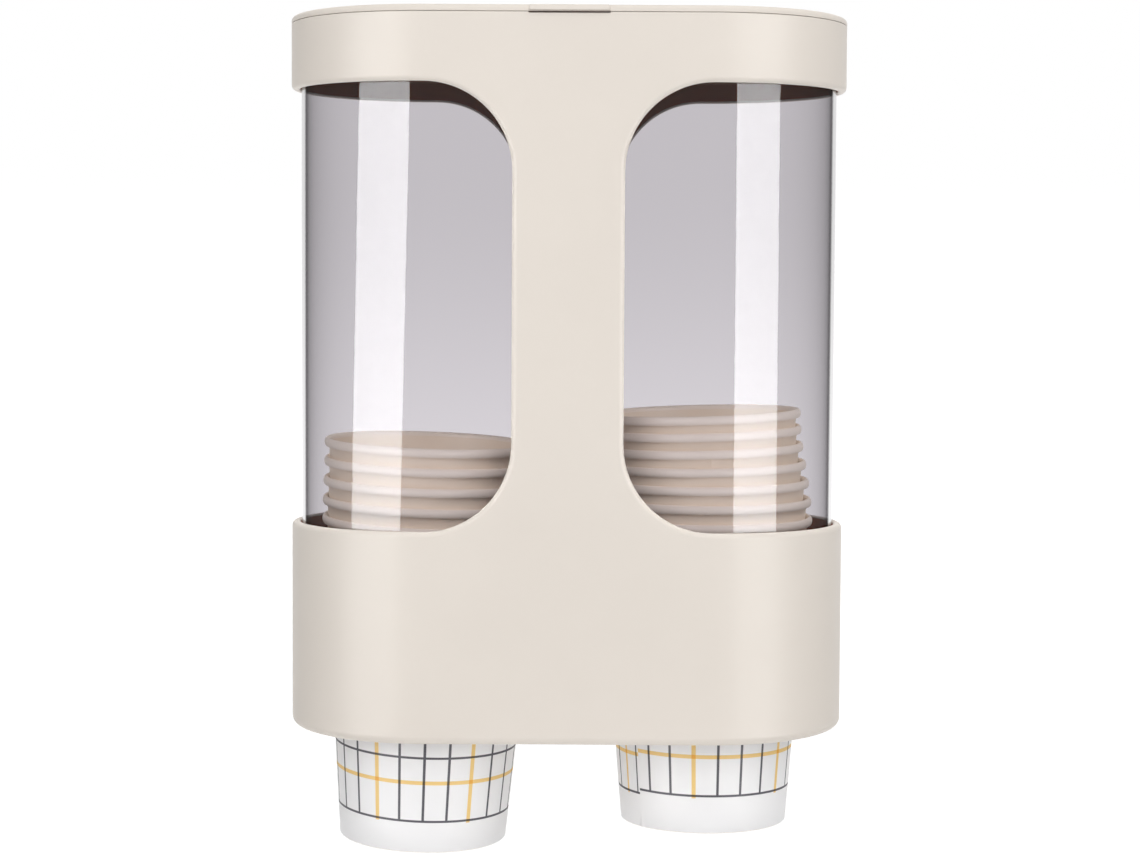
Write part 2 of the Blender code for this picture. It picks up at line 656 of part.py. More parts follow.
def add_fasteners(parent):
    for index, z in enumerate(SHELL_SCREW_Z, 1):
        add_screw(f"shell_screw_{index}", (0, COUNTERBORE_Y, z), (0, -1.6 * COUNTERBORE_Y, z), parent)
    clamp_top = clamp_bottom() + CLAMP_THICKNESS
    for index, y in enumerate(CLAMP_SCREW_Y, 1):
        add_screw(f"clamp_screw_{index}", (0, y, clamp_top), (0, y, CLAMP_POST_BOTTOM + WALL), parent)
    corners = [(x_side, y_side) for x_side in (-1, 1) for y_side in (-1, 1)]
    for index, (x_side, y_side) in enumerate(corners, 1):
        x = x_side * COVER_POST_XY[0]
        y = y_side * COVER_POST_XY[1]
        add_screw(f"cover_screw_{index}", (x, y, COVER_BOTTOM), (x, y, COVER_TOP + COVER_SCREW_REACH), parent)
    for name, side in (("hinge_pin_left", -1), ("hinge_pin_right", 1)):
        add_part(name, knuckle(side, -PIN_HALF, PIN_HALF, PIN_RADIUS), "screw_steel", parent)


# Cups

def cup_profile():
    # Foot skirt, tapered wall, rolled rim, inner wall and the raised floor
    def wall_radius(height):
        return CUP_FOOT_RADIUS + CUP_TAPER * height
    under_rim = CUP_HEIGHT - CUP_RIM_HEIGHT
    floor_top = CUP_FLOOR + CUP_PAPER
    skirt = CUP_FOOT_RADIUS - CUP_SKIRT
    return [
        (0.0, CUP_FLOOR),
        (skirt, CUP_FLOOR),
        (skirt, 0.0),
        (wall_radius(0.0), 0.0),
        (wall_radius(under_rim), under_rim),
        (CUP_RIM_RADIUS, under_rim + CUP_RIM_BELLY),
        (CUP_RIM_RADIUS - CUP_RIM_LIP, CUP_HEIGHT),
        (wall_radius(CUP_HEIGHT - CUP_RIM_LIP) - CUP_PAPER, CUP_HEIGHT - CUP_RIM_LIP),
        (wall_radius(floor_top) - CUP_PAPER, floor_top),
        (0.0, floor_top),
    ]


def cup_feet(count, foot, pitch, settling):
    # Height of each cup's foot from the lowest up; settling closes the pitch higher in the stack
    feet = [foot]
    for step in range(count - 1):
        feet.append(feet[-1] + pitch - settling * step ** 2)
    return feet


def add_cups(side_name, side, feet, parent):
    # The lowest cup is pulled out; the others are one stack
    lowest = add_empty(f"{side_name}_lowest_cup_slide", (side * CUP_X, 0.0, feet[0]), parent)
    stack = add_empty(f"{side_name}_stack_slide", (side * CUP_X, 0.0, feet[1]), parent)
    for index, foot in enumerate(feet, 1):
        holder = lowest if index == 1 else stack
        profile = [(radius, z + foot - holder.location.z) for radius, z in cup_profile()]
        add_part(f"cup_{side_name}_{index:02d}", turned(profile, (0.0, 0.0), CUP_FACETS), "cup_paper", holder)


def build():
    clear_scene()
    root = add_empty("wall_mount", (0.0, 0.0, 0.0))
    bracket_frame = add_empty("bracket_frame", HOUSING_ORIGIN, root)
    housing = add_empty("housing_slide", HOUSING_ORIGIN, root)
    add_bracket(bracket_frame)
    add_front_shell(housing)
    add_rear_shell(housing)
    add_deck(housing)
    add_gasket("retainer_gasket_left", -1, housing)
    add_gasket("retainer_gasket_right", 1, housing)
    add_clamp(housing)
    add_cover(housing)
    add_tube(housing)
    add_mouth_frame(housing)
    add_fasteners(housing)
    add_lid(housing)
    left_feet = cup_feet(LEFT_CUPS, LEFT_FOOT, LEFT_PITCH, 0.0)
    left_feet[0] -= LEFT_DROP    # drawn down a little from its stack
    add_cups("left", -1, left_feet, housing)
    add_cups("right", 1, cup_feet(RIGHT_CUPS, RIGHT_FOOT, RIGHT_PITCH, RIGHT_SETTLING), housing)


build()
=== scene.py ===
import math
import random

import bmesh
import bpy
from mathutils import Matrix, Vector


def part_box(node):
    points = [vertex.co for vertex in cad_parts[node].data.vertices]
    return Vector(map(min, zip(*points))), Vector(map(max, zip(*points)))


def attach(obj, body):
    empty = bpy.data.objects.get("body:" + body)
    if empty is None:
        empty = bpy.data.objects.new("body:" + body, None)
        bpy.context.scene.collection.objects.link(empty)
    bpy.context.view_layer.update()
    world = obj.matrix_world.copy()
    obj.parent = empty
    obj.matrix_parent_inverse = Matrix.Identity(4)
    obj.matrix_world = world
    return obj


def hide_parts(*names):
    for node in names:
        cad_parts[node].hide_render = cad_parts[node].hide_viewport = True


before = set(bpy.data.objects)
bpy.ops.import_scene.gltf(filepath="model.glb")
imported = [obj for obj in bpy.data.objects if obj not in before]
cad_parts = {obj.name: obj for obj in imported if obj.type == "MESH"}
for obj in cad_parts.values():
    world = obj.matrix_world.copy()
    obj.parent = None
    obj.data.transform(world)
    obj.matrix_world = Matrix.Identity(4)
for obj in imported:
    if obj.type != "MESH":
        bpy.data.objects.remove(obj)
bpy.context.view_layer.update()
scene = bpy.context.scene
tubeLow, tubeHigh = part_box("cup_tube")
planDepth = (tubeLow.y + tubeHigh.y) / 2        # mid-depth of the housing
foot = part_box("front_shell")[0].z               # underside of the shells
print("frame loaded, foot of the housing at", round(foot, 4))


# Camera and room

photo = {"width": 1140, "focalPixels": 2416.1, "distance": 0.87935, "height": 0.15722,
         "pitch": -0.05618, "yaw": 0.00108, "roll": 0.0053}

forward = Vector((math.sin(photo["yaw"]) * math.cos(photo["pitch"]),
                  math.cos(photo["yaw"]) * math.cos(photo["pitch"]), math.sin(photo["pitch"])))
level = Vector((math.cos(photo["yaw"]), -math.sin(photo["yaw"]), 0))
upright = level.cross(forward)
camRight = math.cos(photo["roll"]) * level + math.sin(photo["roll"]) * upright
camUp = math.cos(photo["roll"]) * upright - math.sin(photo["roll"]) * level
camera = bpy.data.objects.new("camera", bpy.data.cameras.new("camera"))
camera.data.sensor_width = 36
camera.data.lens = 36 * photo["focalPixels"] / photo["width"]
turn = Matrix((camRight, camUp, -forward)).transposed()
camera.matrix_world = Matrix.Translation((0, planDepth - photo["distance"], foot + photo["height"])) @ turn.to_4x4()
scene.collection.objects.link(camera)
scene.camera = camera
scene.view_settings.view_transform = "Standard"


# Node trees: sockets that can be used in sums, and one method for any other node

def sumOf(operation, turned=False):
    def result(self, other):
        first, second = (other, self) if turned else (self, other)
        return self.nodes.maths(operation, first, second)
    return result


class Wire:
    def __init__(self, nodes, socket):
        self.nodes, self.socket = nodes, socket

    __add__, __radd__ = sumOf("ADD"), sumOf("ADD", True)
    __sub__, __rsub__ = sumOf("SUBTRACT"), sumOf("SUBTRACT", True)
    __mul__, __rmul__ = sumOf("MULTIPLY"), sumOf("MULTIPLY", True)
    __truediv__, __pow__ = sumOf("DIVIDE"), sumOf("POWER")
    __lt__, __gt__ = sumOf("LESS_THAN"), sumOf("GREATER_THAN")
    atLeast, atMost = sumOf("MAXIMUM"), sumOf("MINIMUM")

    def __abs__(self):
        return self.nodes.maths("ABSOLUTE", self)

    def out(self, name):
        return Wire(self.nodes, self.socket.node.outputs[name])


class Nodes:
    def __init__(self, tree):
        self.tree = tree

    def add(self, kind, inputs=None, output=0, **settings):
        node = self.tree.nodes.new(kind)
        for name, value in settings.items():
            setattr(node, name, value)
        for name, value in (inputs or {}).items():
            if isinstance(value, Wire):
                self.tree.links.new(value.socket, node.inputs[name])
            else:
                node.inputs[name].default_value = value
        return Wire(self, node.outputs[output]) if node.outputs else node

    def maths(self, operation, first, second=0.0):
        return self.add("ShaderNodeMath", {0: first, 1: second}, operation=operation)

    def mix(self, factor, first, second, blend="MIX"):
        # The colour sockets of a Mix node come after its numbers and vectors
        return self.add("ShaderNodeMix", {0: factor, 6: first, 7: second}, 2, data_type="RGBA", blend_type=blend)

    def bump(self, strength, distance, height):
        return self.add("ShaderNodeBump", {"Strength": strength, "Distance": distance, "Height": height})

    def smooth(self, value, low, high):
        return self.add("ShaderNodeMapRange", {0: value, 1: low, 2: high, 3: 0.0, 4: 1.0},
                        interpolation_type="SMOOTHSTEP")

    def objectSpace(self):
        return self.add("ShaderNodeTexCoord", {}, "Object")


def newMaterial(name):
    material = bpy.data.materials.new(name)
    material.use_nodes = True
    material.node_tree.nodes.clear()
    return material, Nodes(material.node_tree)


def closeMaterial(nodes, shader):
    nodes.add("ShaderNodeOutputMaterial", {"Surface": shader})


def closePrincipled(nodes, inputs):
    closeMaterial(nodes, nodes.add("ShaderNodeBsdfPrincipled", inputs))


def rgb(red, green, blue):
    # sRGB 0-255 to the linear colour that a socket holds
    def linear(value):
        value /= 255
        return value / 12.92 if value <= 0.04045 else ((value + 0.055) / 1.055) ** 2.4
    return (linear(red), linear(green), linear(blue), 1)


# Finishes

def grain(nodes, scale, detail=3.0):
    return nodes.add("ShaderNodeTexNoise", {"Vector": nodes.objectSpace(), "Scale": scale, "Detail": detail,
                                            "Roughness": 0.55})


def cloudedFinish(name, look):
    # Two close tones in soft clouds, slightly uneven gloss and a fine bump
    material, nodes = newMaterial(name)
    clouds = grain(nodes, look["cloudScale"])
    speckle = grain(nodes, *look["speckle"])
    tone = nodes.smooth(clouds, *look["spread"]) if look["spread"] else clouds
    rough = look["roughness"] + look["cloudGloss"] * (clouds - 0.5) + look["speckleGloss"] * (speckle - 0.5)
    closePrincipled(nodes, {"Base Color": nodes.mix(tone, *look["tones"]), "Roughness": rough,
                            "Normal": nodes.bump(*look["bump"], speckle), **look["shader"]})
    return material


creamLook = {"tones": (rgb(228, 220, 211), rgb(226, 218, 209)), "cloudScale": 14.0, "spread": (0.35, 0.65),
             "speckle": (2600.0, 2.0), "roughness": 0.37, "cloudGloss": 0.05, "speckleGloss": 0.04,
             "bump": (0.10, 0.00004), "shader": {"IOR": 1.46, "Specular IOR Level": 0.065}}
# Painted shade: the browns below colour the faces inside the housing and stand in for the shade inside the closed box
innerShadeLook = {**creamLook, "tones": (rgb(104, 67, 50), rgb(100, 64, 48)), "cloudScale": 20.0,
             "speckle": (2200.0, 2.0), "roughness": 0.55, "bump": (0.06, 0.00004),
             "shader": {"IOR": 1.46, "Specular IOR Level": 0.10}}
# painted shade: a stronger brown for the shells' inner faces, standing in for the shade at the tops of the windows
shellShadeLook = {**innerShadeLook, "tones": (rgb(168, 92, 58), rgb(163, 89, 56)),
             "shader": {"IOR": 1.46, "Specular IOR Level": 0.03}}
siliconeLook = {"tones": (rgb(226, 224, 219), rgb(214, 211, 205)), "cloudScale": 60.0, "spread": None,
                "speckle": (1500.0, 3.0), "roughness": 0.52, "cloudGloss": 0.08, "speckleGloss": 0.0,
                "bump": (0.1, 0.00005), "shader": {"IOR": 1.41}}
steelLook = {"tones": (rgb(196, 196, 198), rgb(176, 176, 180)), "cloudScale": 420.0, "spread": None,
             "speckle": (2400.0, 1.0), "roughness": 0.33, "cloudGloss": 0.18, "speckleGloss": 0.0,
             "bump": (0.12, 0.00003), "shader": {"Metallic": 1.0}}
cream = cloudedFinish("cream_plastic", creamLook)
# painted shade: the inner brown goes on the lid's underside and the inner parts, the shell brown on the shells' inner
# faces
innerShadeBrown = cloudedFinish("brown_inner_plastic", innerShadeLook)
shellShadeBrown = cloudedFinish("brown_shell_plastic", shellShadeLook)
silicone = cloudedFinish("translucent_silicone", siliconeLook)
steel = cloudedFinish("zinc_plated_steel", steelLook)


tubeLook = {"near": (0.96, 0.947, 0.957, 1), "far": (0.556, 0.536, 0.561, 1), "deep": (0.012, 0.009, 0.008, 1),
            "outer": 0.04648, "wall": 0.0020, "absorb": 0.145, "gloss": 0.02, "edgeGloss": 0.62,
            "edgeBand": (0.735, 0.80), "roughness": 0.03, "streaks": 0.02}


def smokedPlastic():
    # Tinted clear plastic. Only the outer faces tint, so a wall counts once, and the wall on the far side
    # tints more. The tint deepens with the length of the path through the curved wall, up to its edge
    material, nodes = newMaterial("smoked_clear_plastic")
    spot = nodes.add("ShaderNodeSeparateXYZ", {0: nodes.objectSpace()})
    beyond = (abs(spot) - body["halfFlat"]).atLeast(0.0)
    fromMiddle = spot.out("Y") - planDepth
    radius = (beyond * beyond + fromMiddle * fromMiddle) ** 0.5
    isOuter = radius > tubeLook["outer"] - tubeLook["wall"] / 2
    facing = nodes.add("ShaderNodeLayerWeight", {"Blend": 0.5}, "Facing")
    cosine = 1.0 - facing
    inner = tubeLook["outer"] - tubeLook["wall"]
    chord = (inner ** 2 - tubeLook["outer"] ** 2 * (1.0 - cosine * cosine)).atLeast(0.0) ** 0.5
    path = (tubeLook["outer"] * cosine - chord) / tubeLook["wall"]
    kept = nodes.maths("EXPONENT", -tubeLook["absorb"] * (path - 1.0))
    fromInside = nodes.add("ShaderNodeNewGeometry", {}, "Backfacing")

    def clear(colour):
        return nodes.add("ShaderNodeBsdfTransparent", {"Color": colour})

    def blend(factor, first, second):
        return nodes.add("ShaderNodeMixShader", {0: factor, 1: first, 2: second})

    tint = blend(fromInside, clear(tubeLook["near"]), clear(tubeLook["far"]))
    through = blend(kept, clear(tubeLook["deep"]), tint)
    rough = tubeLook["roughness"] + tubeLook["streaks"] * grain(nodes, 30.0)
    gloss = nodes.add("ShaderNodeBsdfGlossy", {"Color": (1, 1, 1, 1), "Roughness": rough})
    edge = nodes.smooth(facing, *tubeLook["edgeBand"])
    shine = (tubeLook["gloss"] + (tubeLook["edgeGloss"] - tubeLook["gloss"]) * edge) * (1.0 - fromInside)
    wall = blend(isOuter, clear((1, 1, 1, 1)), blend(shine, through, gloss))
    # lamps reach what is inside
    shadowRay = nodes.add("ShaderNodeLightPath", {}, "Is Shadow Ray")
    closeMaterial(nodes, blend(shadowRay, wall, clear((1, 1, 1, 1))))
    return material


def foamTape():
    material, nodes = newMaterial("foam_tape")
    cells = nodes.add("ShaderNodeTexVoronoi", {"Vector": nodes.objectSpace(), "Scale": 1400.0})
    colour = nodes.mix(nodes.smooth(cells, 0.0, 0.5), rgb(232, 232, 230), rgb(214, 214, 213))
    closePrincipled(nodes, {"Base Color": colour, "Roughness": 0.85, "Normal": nodes.bump(0.3, 0.0001, cells)})
    return material


foam = foamTape()
printLook = {"paper": rgb(248, 247, 247), "paperShade": rgb(245, 244, 245), "raw": rgb(253, 239, 223),
             "rawShade": rgb(249, 233, 215), "rim": rgb(254, 242, 231), "ink": rgb(88, 86, 92),
             "yellow": rgb(250, 214, 138), "lines": 23.2, "yellowEvery": 4, "greyWidth": 0.00094,
             "yellowWidth": 0.00155, "ringGrey": 0.00082, "ringYellow": 0.00142, "lowestRing": 0.0122,
             "ringPitch": 0.0233, "yellowRing": 0.0142, "skew": 0.0015, "radius": 0.0325, "overrun": 0.0009,
             "top": 0.0725, "blur": 0.00004, "roughness": 0.50}


def printedPaper():
    # White ink with a check of grey and yellow lines over natural paper, which stays bare at the rim and
    # inside; u is the turn from the first yellow line, v the height over the foot in metres, with -1 for the
    # bare faces and -2 for the paler rim
    material, nodes = newMaterial("printed_cup_paper")
    uv = nodes.add("ShaderNodeUVMap", uv_map="UVMap")
    parts = nodes.add("ShaderNodeSeparateXYZ", {0: uv})
    turnShare, height = parts, parts.out("Y")
    around = 2 * math.pi * printLook["radius"]

    def band(distance, width):
        # 1 on a line of that width, falling to 0 within a twelfth of a millimetre
        return nodes.add("ShaderNodeMapRange", {
            0: distance, 1: width / 2 - printLook["blur"], 2: width / 2 + printLook["blur"], 3: 1.0, 4: 0.0})

    def fromLine(value, pitch, start=0.0):
        # Distance from the nearest of the lines that repeat at the pitch
        return nodes.maths("PINGPONG", value - start + 400 * pitch, pitch / 2)

    step = around / printLook["lines"]
    along = turnShare * around
    level = height + printLook["skew"] * turnShare
    lowest, pitch = printLook["lowestRing"], printLook["ringPitch"]
    started = level > lowest
    onWall = (height > -0.5) * (height < printLook["top"])
    yellowLine = fromLine(along, step * printLook["yellowEvery"])
    greyLines = band(fromLine(along, step), printLook["greyWidth"]) * (yellowLine > step / 2) * started
    greyRings = band(fromLine(level, pitch, lowest), printLook["ringGrey"]) * (level > lowest - printLook["ringGrey"])
    yellowRings = band(fromLine(level, pitch, lowest + printLook["yellowRing"]), printLook["ringYellow"]) * started
    yellowLines = band(yellowLine, printLook["yellowWidth"]) * (level > lowest - printLook["overrun"])
    fibres, blotches = grain(nodes, 900.0), grain(nodes, 55.0)
    raw = nodes.mix(blotches, printLook["raw"], printLook["rawShade"])
    raw = nodes.mix(height < -1.5, raw, printLook["rim"])
    colour = nodes.mix(onWall, raw, nodes.mix(blotches, printLook["paper"], printLook["paperShade"]))
    for mark, ink in ((yellowLines, "yellow"), (yellowRings, "yellow"), (greyLines.atLeast(greyRings), "ink")):
        colour = nodes.mix(mark * onWall, colour, printLook[ink], "MULTIPLY")
    closePrincipled(nodes, {
        "Base Color": colour, "Roughness": printLook["roughness"] + 0.10 * (fibres - 0.5),
        "Normal": nodes.bump(0.10, 0.00006, fibres), "IOR": 1.45, "Specular IOR Level": 0.15})
    return material


cupPaper = printedPaper()
print("finishes made")


# Mesh helpers

def newPiece(name, bm, material, place=True):
    # A piece laid out in the housing's frame is put where the housing is
    bmesh.ops.recalc_face_normals(bm, faces=bm.faces)
    mesh = bpy.data.meshes.new(name)
    bm.to_mesh(mesh)
    bm.free()
    if place:
        mesh.transform(Matrix.Translation((0, planDepth, foot)))
    mesh.materials.append(material)
    piece = bpy.data.objects.new(name, mesh)
    scene.collection.objects.link(piece)
    return piece


def bakeModifiers(piece):
    graph = bpy.context.evaluated_depsgraph_get()
    graph.update()
    mesh = bpy.data.meshes.new_from_object(piece.evaluated_get(graph), depsgraph=graph)
    mesh.name = piece.name
    piece.modifiers.clear()
    piece.data = mesh
    return piece


def recalcNormals(piece):
    bm = bmesh.new()
    bm.from_mesh(piece.data)
    bmesh.ops.remove_doubles(bm, verts=bm.verts, dist=0.000001)
    bmesh.ops.recalc_face_normals(bm, faces=bm.faces)
    bm.to_mesh(piece.data)
    bm.free()


def smoothFaces(piece, angle=32):
    piece.data.shade_smooth()
    piece.data.set_sharp_from_angle(angle=math.radians(angle))
    weighted = piece.modifiers.new("flat_faces_stay_flat", "WEIGHTED_NORMAL")
    weighted.keep_sharp = True
    return bakeModifiers(piece)


def paintShadeInside(piece, depth):
    # Painted shade: above the foot, faces that lie wholly deeper than that inside the oval plan get the brown that
    # stands in for the shade inside the housing
    mesh = piece.data
    mesh.materials.append(shellShadeBrown)
    for face in mesh.polygons:
        points = [mesh.vertices[index].co for index in face.vertices]
        reach = max(math.hypot(max(abs(point.x) - body["halfFlat"], 0), point.y - planDepth) for point in points)
        if reach < body["endRadius"] - depth and face.center.z > foot + 0.006:
            face.material_index = 1


def combine(piece, bm, operation, place=True):
    # Adds a solid to the piece or cuts it out, and removes the tool
    tool = newPiece("tool", bm, piece.data.materials[0], place)
    modifier = piece.modifiers.new("shape", "BOOLEAN")
    modifier.operation, modifier.solver, modifier.object = operation, "EXACT", tool
    bakeModifiers(piece)
    bpy.data.objects.remove(tool)


def join(piece, *solids):
    for bm in solids:
        combine(piece, bm, "UNION")


def cut(piece, *solids, place=True):
    for bm in solids:
        combine(piece, bm, "DIFFERENCE", place)


def fit(piece, rides, slotName, *nodes):
    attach(piece, rides)
    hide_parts(*nodes)


def arc(x, y, radius, start, sweep, steps):
    angles = [math.radians(start + sweep * step / steps) for step in range(steps + 1)]
    return [(x + radius * math.cos(angle), y + radius * math.sin(angle)) for angle in angles]


def plan(offset, facets=72):
    # The housing's oval, drawn in by the offset
    radius = body["endRadius"] - offset
    return arc(body["halfFlat"], 0, radius, -90, 180, facets) + arc(-body["halfFlat"], 0, radius, 90, 180, facets)


def circle(x, y, radius, facets):
    return arc(x, y, radius, 0, 360, facets)[:-1]


def skin(rings, capped):
    bm = bmesh.new()
    loops = [[bm.verts.new(point) for point in ring] for ring in rings]
    for level in range(len(loops) - 1 if capped else len(loops)):
        lower, upper = loops[level], loops[(level + 1) % len(loops)]
        for i in range(len(lower)):
            bm.faces.new((lower[i - 1], lower[i], upper[i], upper[i - 1]))
    if capped:
        bm.faces.new(reversed(loops[0]))
        bm.faces.new(loops[-1])
    return bm


def planSkin(profile, capped=False, facets=72):
    # A skin through ovals at the profile's (offset, height) pairs
    return skin([[(x, y, z) for x, y in plan(offset, facets)] for offset, z in profile], capped)


def rod(start, end, radius, facets=32, endRadius=None):
    start, end = Vector(start), Vector(end)
    bm = bmesh.new()
    bmesh.ops.create_cone(bm, cap_ends=True, segments=facets, radius1=radius,
                          radius2=radius if endRadius is None else endRadius, depth=(end - start).length)
    turned = (end - start).to_track_quat("Z", "Y").to_matrix().to_4x4()
    bmesh.ops.transform(bm, matrix=Matrix.Translation((start + end) / 2) @ turned, verts=bm.verts)
    return bm


def block(low, high):
    low, high = Vector(low), Vector(high)
    bm = bmesh.new()
    bmesh.ops.create_cube(bm, size=1.0)
    bmesh.ops.scale(bm, vec=high - low, verts=bm.verts)
    bmesh.ops.translate(bm, vec=(low + high) / 2, verts=bm.verts)
    return bm


def bevelEdges(bm, edges, radius, segments):
    bmesh.ops.bevel(bm, geom=edges, offset=radius, segments=segments, profile=0.5, affect="EDGES",
                    clamp_overlap=True)


def softBlock(low, high, radius, segments=3):
    bm = block(low, high)
    bevelEdges(bm, bm.edges[:], radius, segments)
    return bm


def edgesOf(faces):
    # each once and in a fixed order, so that every run gives the same mesh
    return list(dict.fromkeys(edge for face in faces for edge in face.edges))


def extrude(bm, geom, offset):
    grown = bmesh.ops.extrude_face_region(bm, geom=geom)
    moved = [item for item in grown["geom"] if isinstance(item, bmesh.types.BMVert)]
    bmesh.ops.translate(bm, vec=offset, verts=moved)


def plate(outline, holes, bottom, top, walls=()):
    # A flat plate with holes and with upright walls on it, each (outer, inner, height, open inside)
    bm = bmesh.new()

    def draw(points):
        verts = [bm.verts.new((x, y, bottom)) for x, y in points]
        return verts, [bm.edges.new((verts[i - 1], verts[i])) for i in range(len(verts))]

    boundary = [edge for loop in (outline, *holes) for edge in draw(loop)[1]]
    for mark, (outer, inner, wallTop, isOpen) in enumerate(walls, 1):
        outerVerts, outerEdges = draw(outer)
        innerVerts, innerEdges = draw(inner)
        boundary += outerEdges if isOpen else outerEdges + innerEdges
        for i in range(len(outerVerts)):
            strip = bm.faces.new((outerVerts[i - 1], outerVerts[i], innerVerts[i], innerVerts[i - 1]))
            strip.material_index = mark
    bmesh.ops.triangle_fill(bm, use_beauty=True, use_dissolve=False, edges=boundary)
    extrude(bm, bm.faces[:], (0, 0, top - bottom))
    for mark, (outer, inner, wallTop, isOpen) in enumerate(walls, 1):
        crest = [face for face in bm.faces if face.material_index == mark
                 and all(vert.co.z > (bottom + top) / 2 for vert in face.verts)]
        extrude(bm, crest + edgesOf(crest), (0, 0, wallTop - top))
    for face in bm.faces:
        face.material_index = 0
    return bm


def bevelPiece(piece, width, segments=2):
    bevel = piece.modifiers.new("edges", "BEVEL")
    bevel.width, bevel.segments, bevel.limit_method = width, segments, "ANGLE"
    bevel.angle_limit = math.radians(40)
    bevel.use_clamp_overlap = True
    return bakeModifiers(piece)


# Geometry Nodes trees that wrap, repeat and place the pieces

def newTree(name, sockets):
    tree = bpy.data.node_groups.new(name, "GeometryNodeTree")
    for label, kind in (("Geometry", "Geometry"), *sockets, ("Material", "Material")):
        tree.interface.new_socket(label, in_out="INPUT", socket_type="NodeSocket" + kind)
    tree.interface.new_socket("Geometry", in_out="OUTPUT", socket_type="NodeSocketGeometry")
    nodes = Nodes(tree)
    return nodes, nodes.add("NodeGroupInput")


def closeTree(nodes, geometry, given):
    solid = nodes.add("GeometryNodeRealizeInstances", {0: geometry})
    painted = nodes.add("GeometryNodeSetMaterial", {"Geometry": solid, "Material": given.out("Material")})
    nodes.add("NodeGroupOutput", {0: painted})
    return nodes.tree


def runTree(piece, tree, values):
    # Inputs are set by their identifiers before the piece is first evaluated
    modifier = piece.modifiers.new(tree.name, "NODES")
    modifier.node_group = tree
    for item in tree.interface.items_tree:
        if item.in_out == "INPUT" and item.name in values:
            modifier[item.identifier] = values[item.name]
    return bakeModifiers(piece)


def wrapTree():
    # Bends a flat sheet (x along the run, y in depth) round the housing's oval plan
    nodes, given = newTree("wrap_round_plan", [(label, "Float") for label in ("End Radius", "Half Flat", "Side")])
    spot = nodes.add("ShaderNodeSeparateXYZ", {0: nodes.add("GeometryNodeInputPosition")})
    run, depth, height = spot, spot.out("Y"), spot.out("Z")
    endRadius, halfFlat, side = given.out("End Radius"), given.out("Half Flat"), given.out("Side")
    radius = endRadius - depth
    angle = (abs(run) - halfFlat).atLeast(0.0) / endRadius
    x = nodes.maths("SIGN", run) * (abs(run).atMost(halfFlat) + radius * nodes.maths("SINE", angle))
    y = side * radius * nodes.maths("COSINE", angle)
    placed = nodes.add("ShaderNodeCombineXYZ", {0: x, 1: y, 2: height})
    bent = nodes.add("GeometryNodeSetPosition", {"Geometry": given, "Position": placed})
    return closeTree(nodes, bent, given)


def ringTree():
    # Repeats the piece's own mesh round a vertical axis
    nodes, given = newTree("repeat_round_axis", [("Count", "Int"), ("Centre", "Vector")])
    spots = nodes.add("GeometryNodeMeshLine", {"Count": given.out("Count"), "Offset": (0, 0, 0)}, mode="OFFSET")
    angle = nodes.add("GeometryNodeInputIndex") * (2 * math.pi) / given.out("Count")
    turned = nodes.add("ShaderNodeCombineXYZ", {2: angle})
    placed = nodes.add("GeometryNodeInstanceOnPoints", {"Points": spots, "Instance": given, "Rotation": turned})
    moved = nodes.add("GeometryNodeTransform", {"Geometry": placed, "Translation": given.out("Centre")})
    whole = nodes.add("GeometryNodeRealizeInstances", {0: moved})
    merged = nodes.add("GeometryNodeMergeByDistance", {"Geometry": whole, "Distance": 0.00001})
    return closeTree(nodes, merged, given)


def copiesTree():
    # Puts a copy of another object at each spot, with the spot's own turn and size
    nodes, given = newTree("copies_at_spots", [("Original", "Object")])
    original = nodes.add("GeometryNodeObjectInfo", {"Object": given.out("Original"), "As Instance": True},
                         "Geometry", transform_space="ORIGINAL")
    turn, size = [nodes.add("GeometryNodeInputNamedAttribute", {"Name": name}, data_type="FLOAT_VECTOR")
                  for name in ("turn", "size")]
    placed = nodes.add("GeometryNodeInstanceOnPoints", {"Points": given, "Instance": original, "Rotation": turn,
                                                        "Scale": size})
    return closeTree(nodes, placed, given)


wrapRound, repeatRound, copiesAtSpots = wrapTree(), ringTree(), copiesTree()


def copiesOf(original, name, places, sizes, material):
    # The original goes; the copies are one object
    cloud = bpy.data.meshes.new(name)
    cloud.from_pydata([place.translation for place in places], [], [])
    turns = cloud.attributes.new("turn", "FLOAT_VECTOR", "POINT")
    scales = cloud.attributes.new("size", "FLOAT_VECTOR", "POINT")
    for index, (place, size) in enumerate(zip(places, sizes)):
        turns.data[index].vector = place.to_euler()
        scales.data[index].vector = size
    cloud.materials.append(material)
    piece = bpy.data.objects.new(name, cloud)
    scene.collection.objects.link(piece)
    runTree(piece, copiesAtSpots, {"Original": original, "Material": material})
    bpy.data.objects.remove(original)
    return piece


print("node trees made")


# Housing shells

body = {"endRadius": 0.050, "halfFlat": 0.050, "height": 0.2525, "wall": 0.003, "gap": 0.0003,
        "sill": 0.074, "head": 0.229, "spineHalf": 0.01935, "windowRound": 0.0018, "windowInnerRound": 0.00075,
        "footRound": 0.004, "lipRound": 0.0003, "arcSteps": 24, "columns": 36, "small": 0.000001,
        "flangeTop": 0.0026, "ledge": 0.006, "deckLedge": (0.0381, 0.0408), "mouthLedge": (0.2478, 0.2496),
        "mouthLedgeDepth": 0.0046}
screws = {"heights": (0.012, 0.0255, 0.2449), "bossRadius": 0.0034, "counterbore": 0.0026,
          "counterboreDepth": 0.008, "clearance": 0.0015, "pilot": 0.00135}
hinge = {"y": 0.050, "z": 0.25265, "x": 0.030, "radius": 0.0024, "gap": 0.00035, "lidHalf": 0.0057,
         "shellSpan": (0.0061, 0.0120), "pinHalf": 0.0117, "pinHole": 0.0012, "pin": 0.0010}
lidTab = {"half": 0.0140, "proud": 0.0009, "notch": 0.0005, "corner": 0.0009}
channel = {"half": 0.0162, "top": 0.1800, "lipDepth": (0.0529, 0.0547), "lipHalf": 0.0086,
           "webHalf": 0.0136, "railHeights": (0.1310, 0.1757), "round": 0.0003}
shellEnd = body["halfFlat"] + body["endRadius"] * math.pi / 2 - body["gap"] / 2


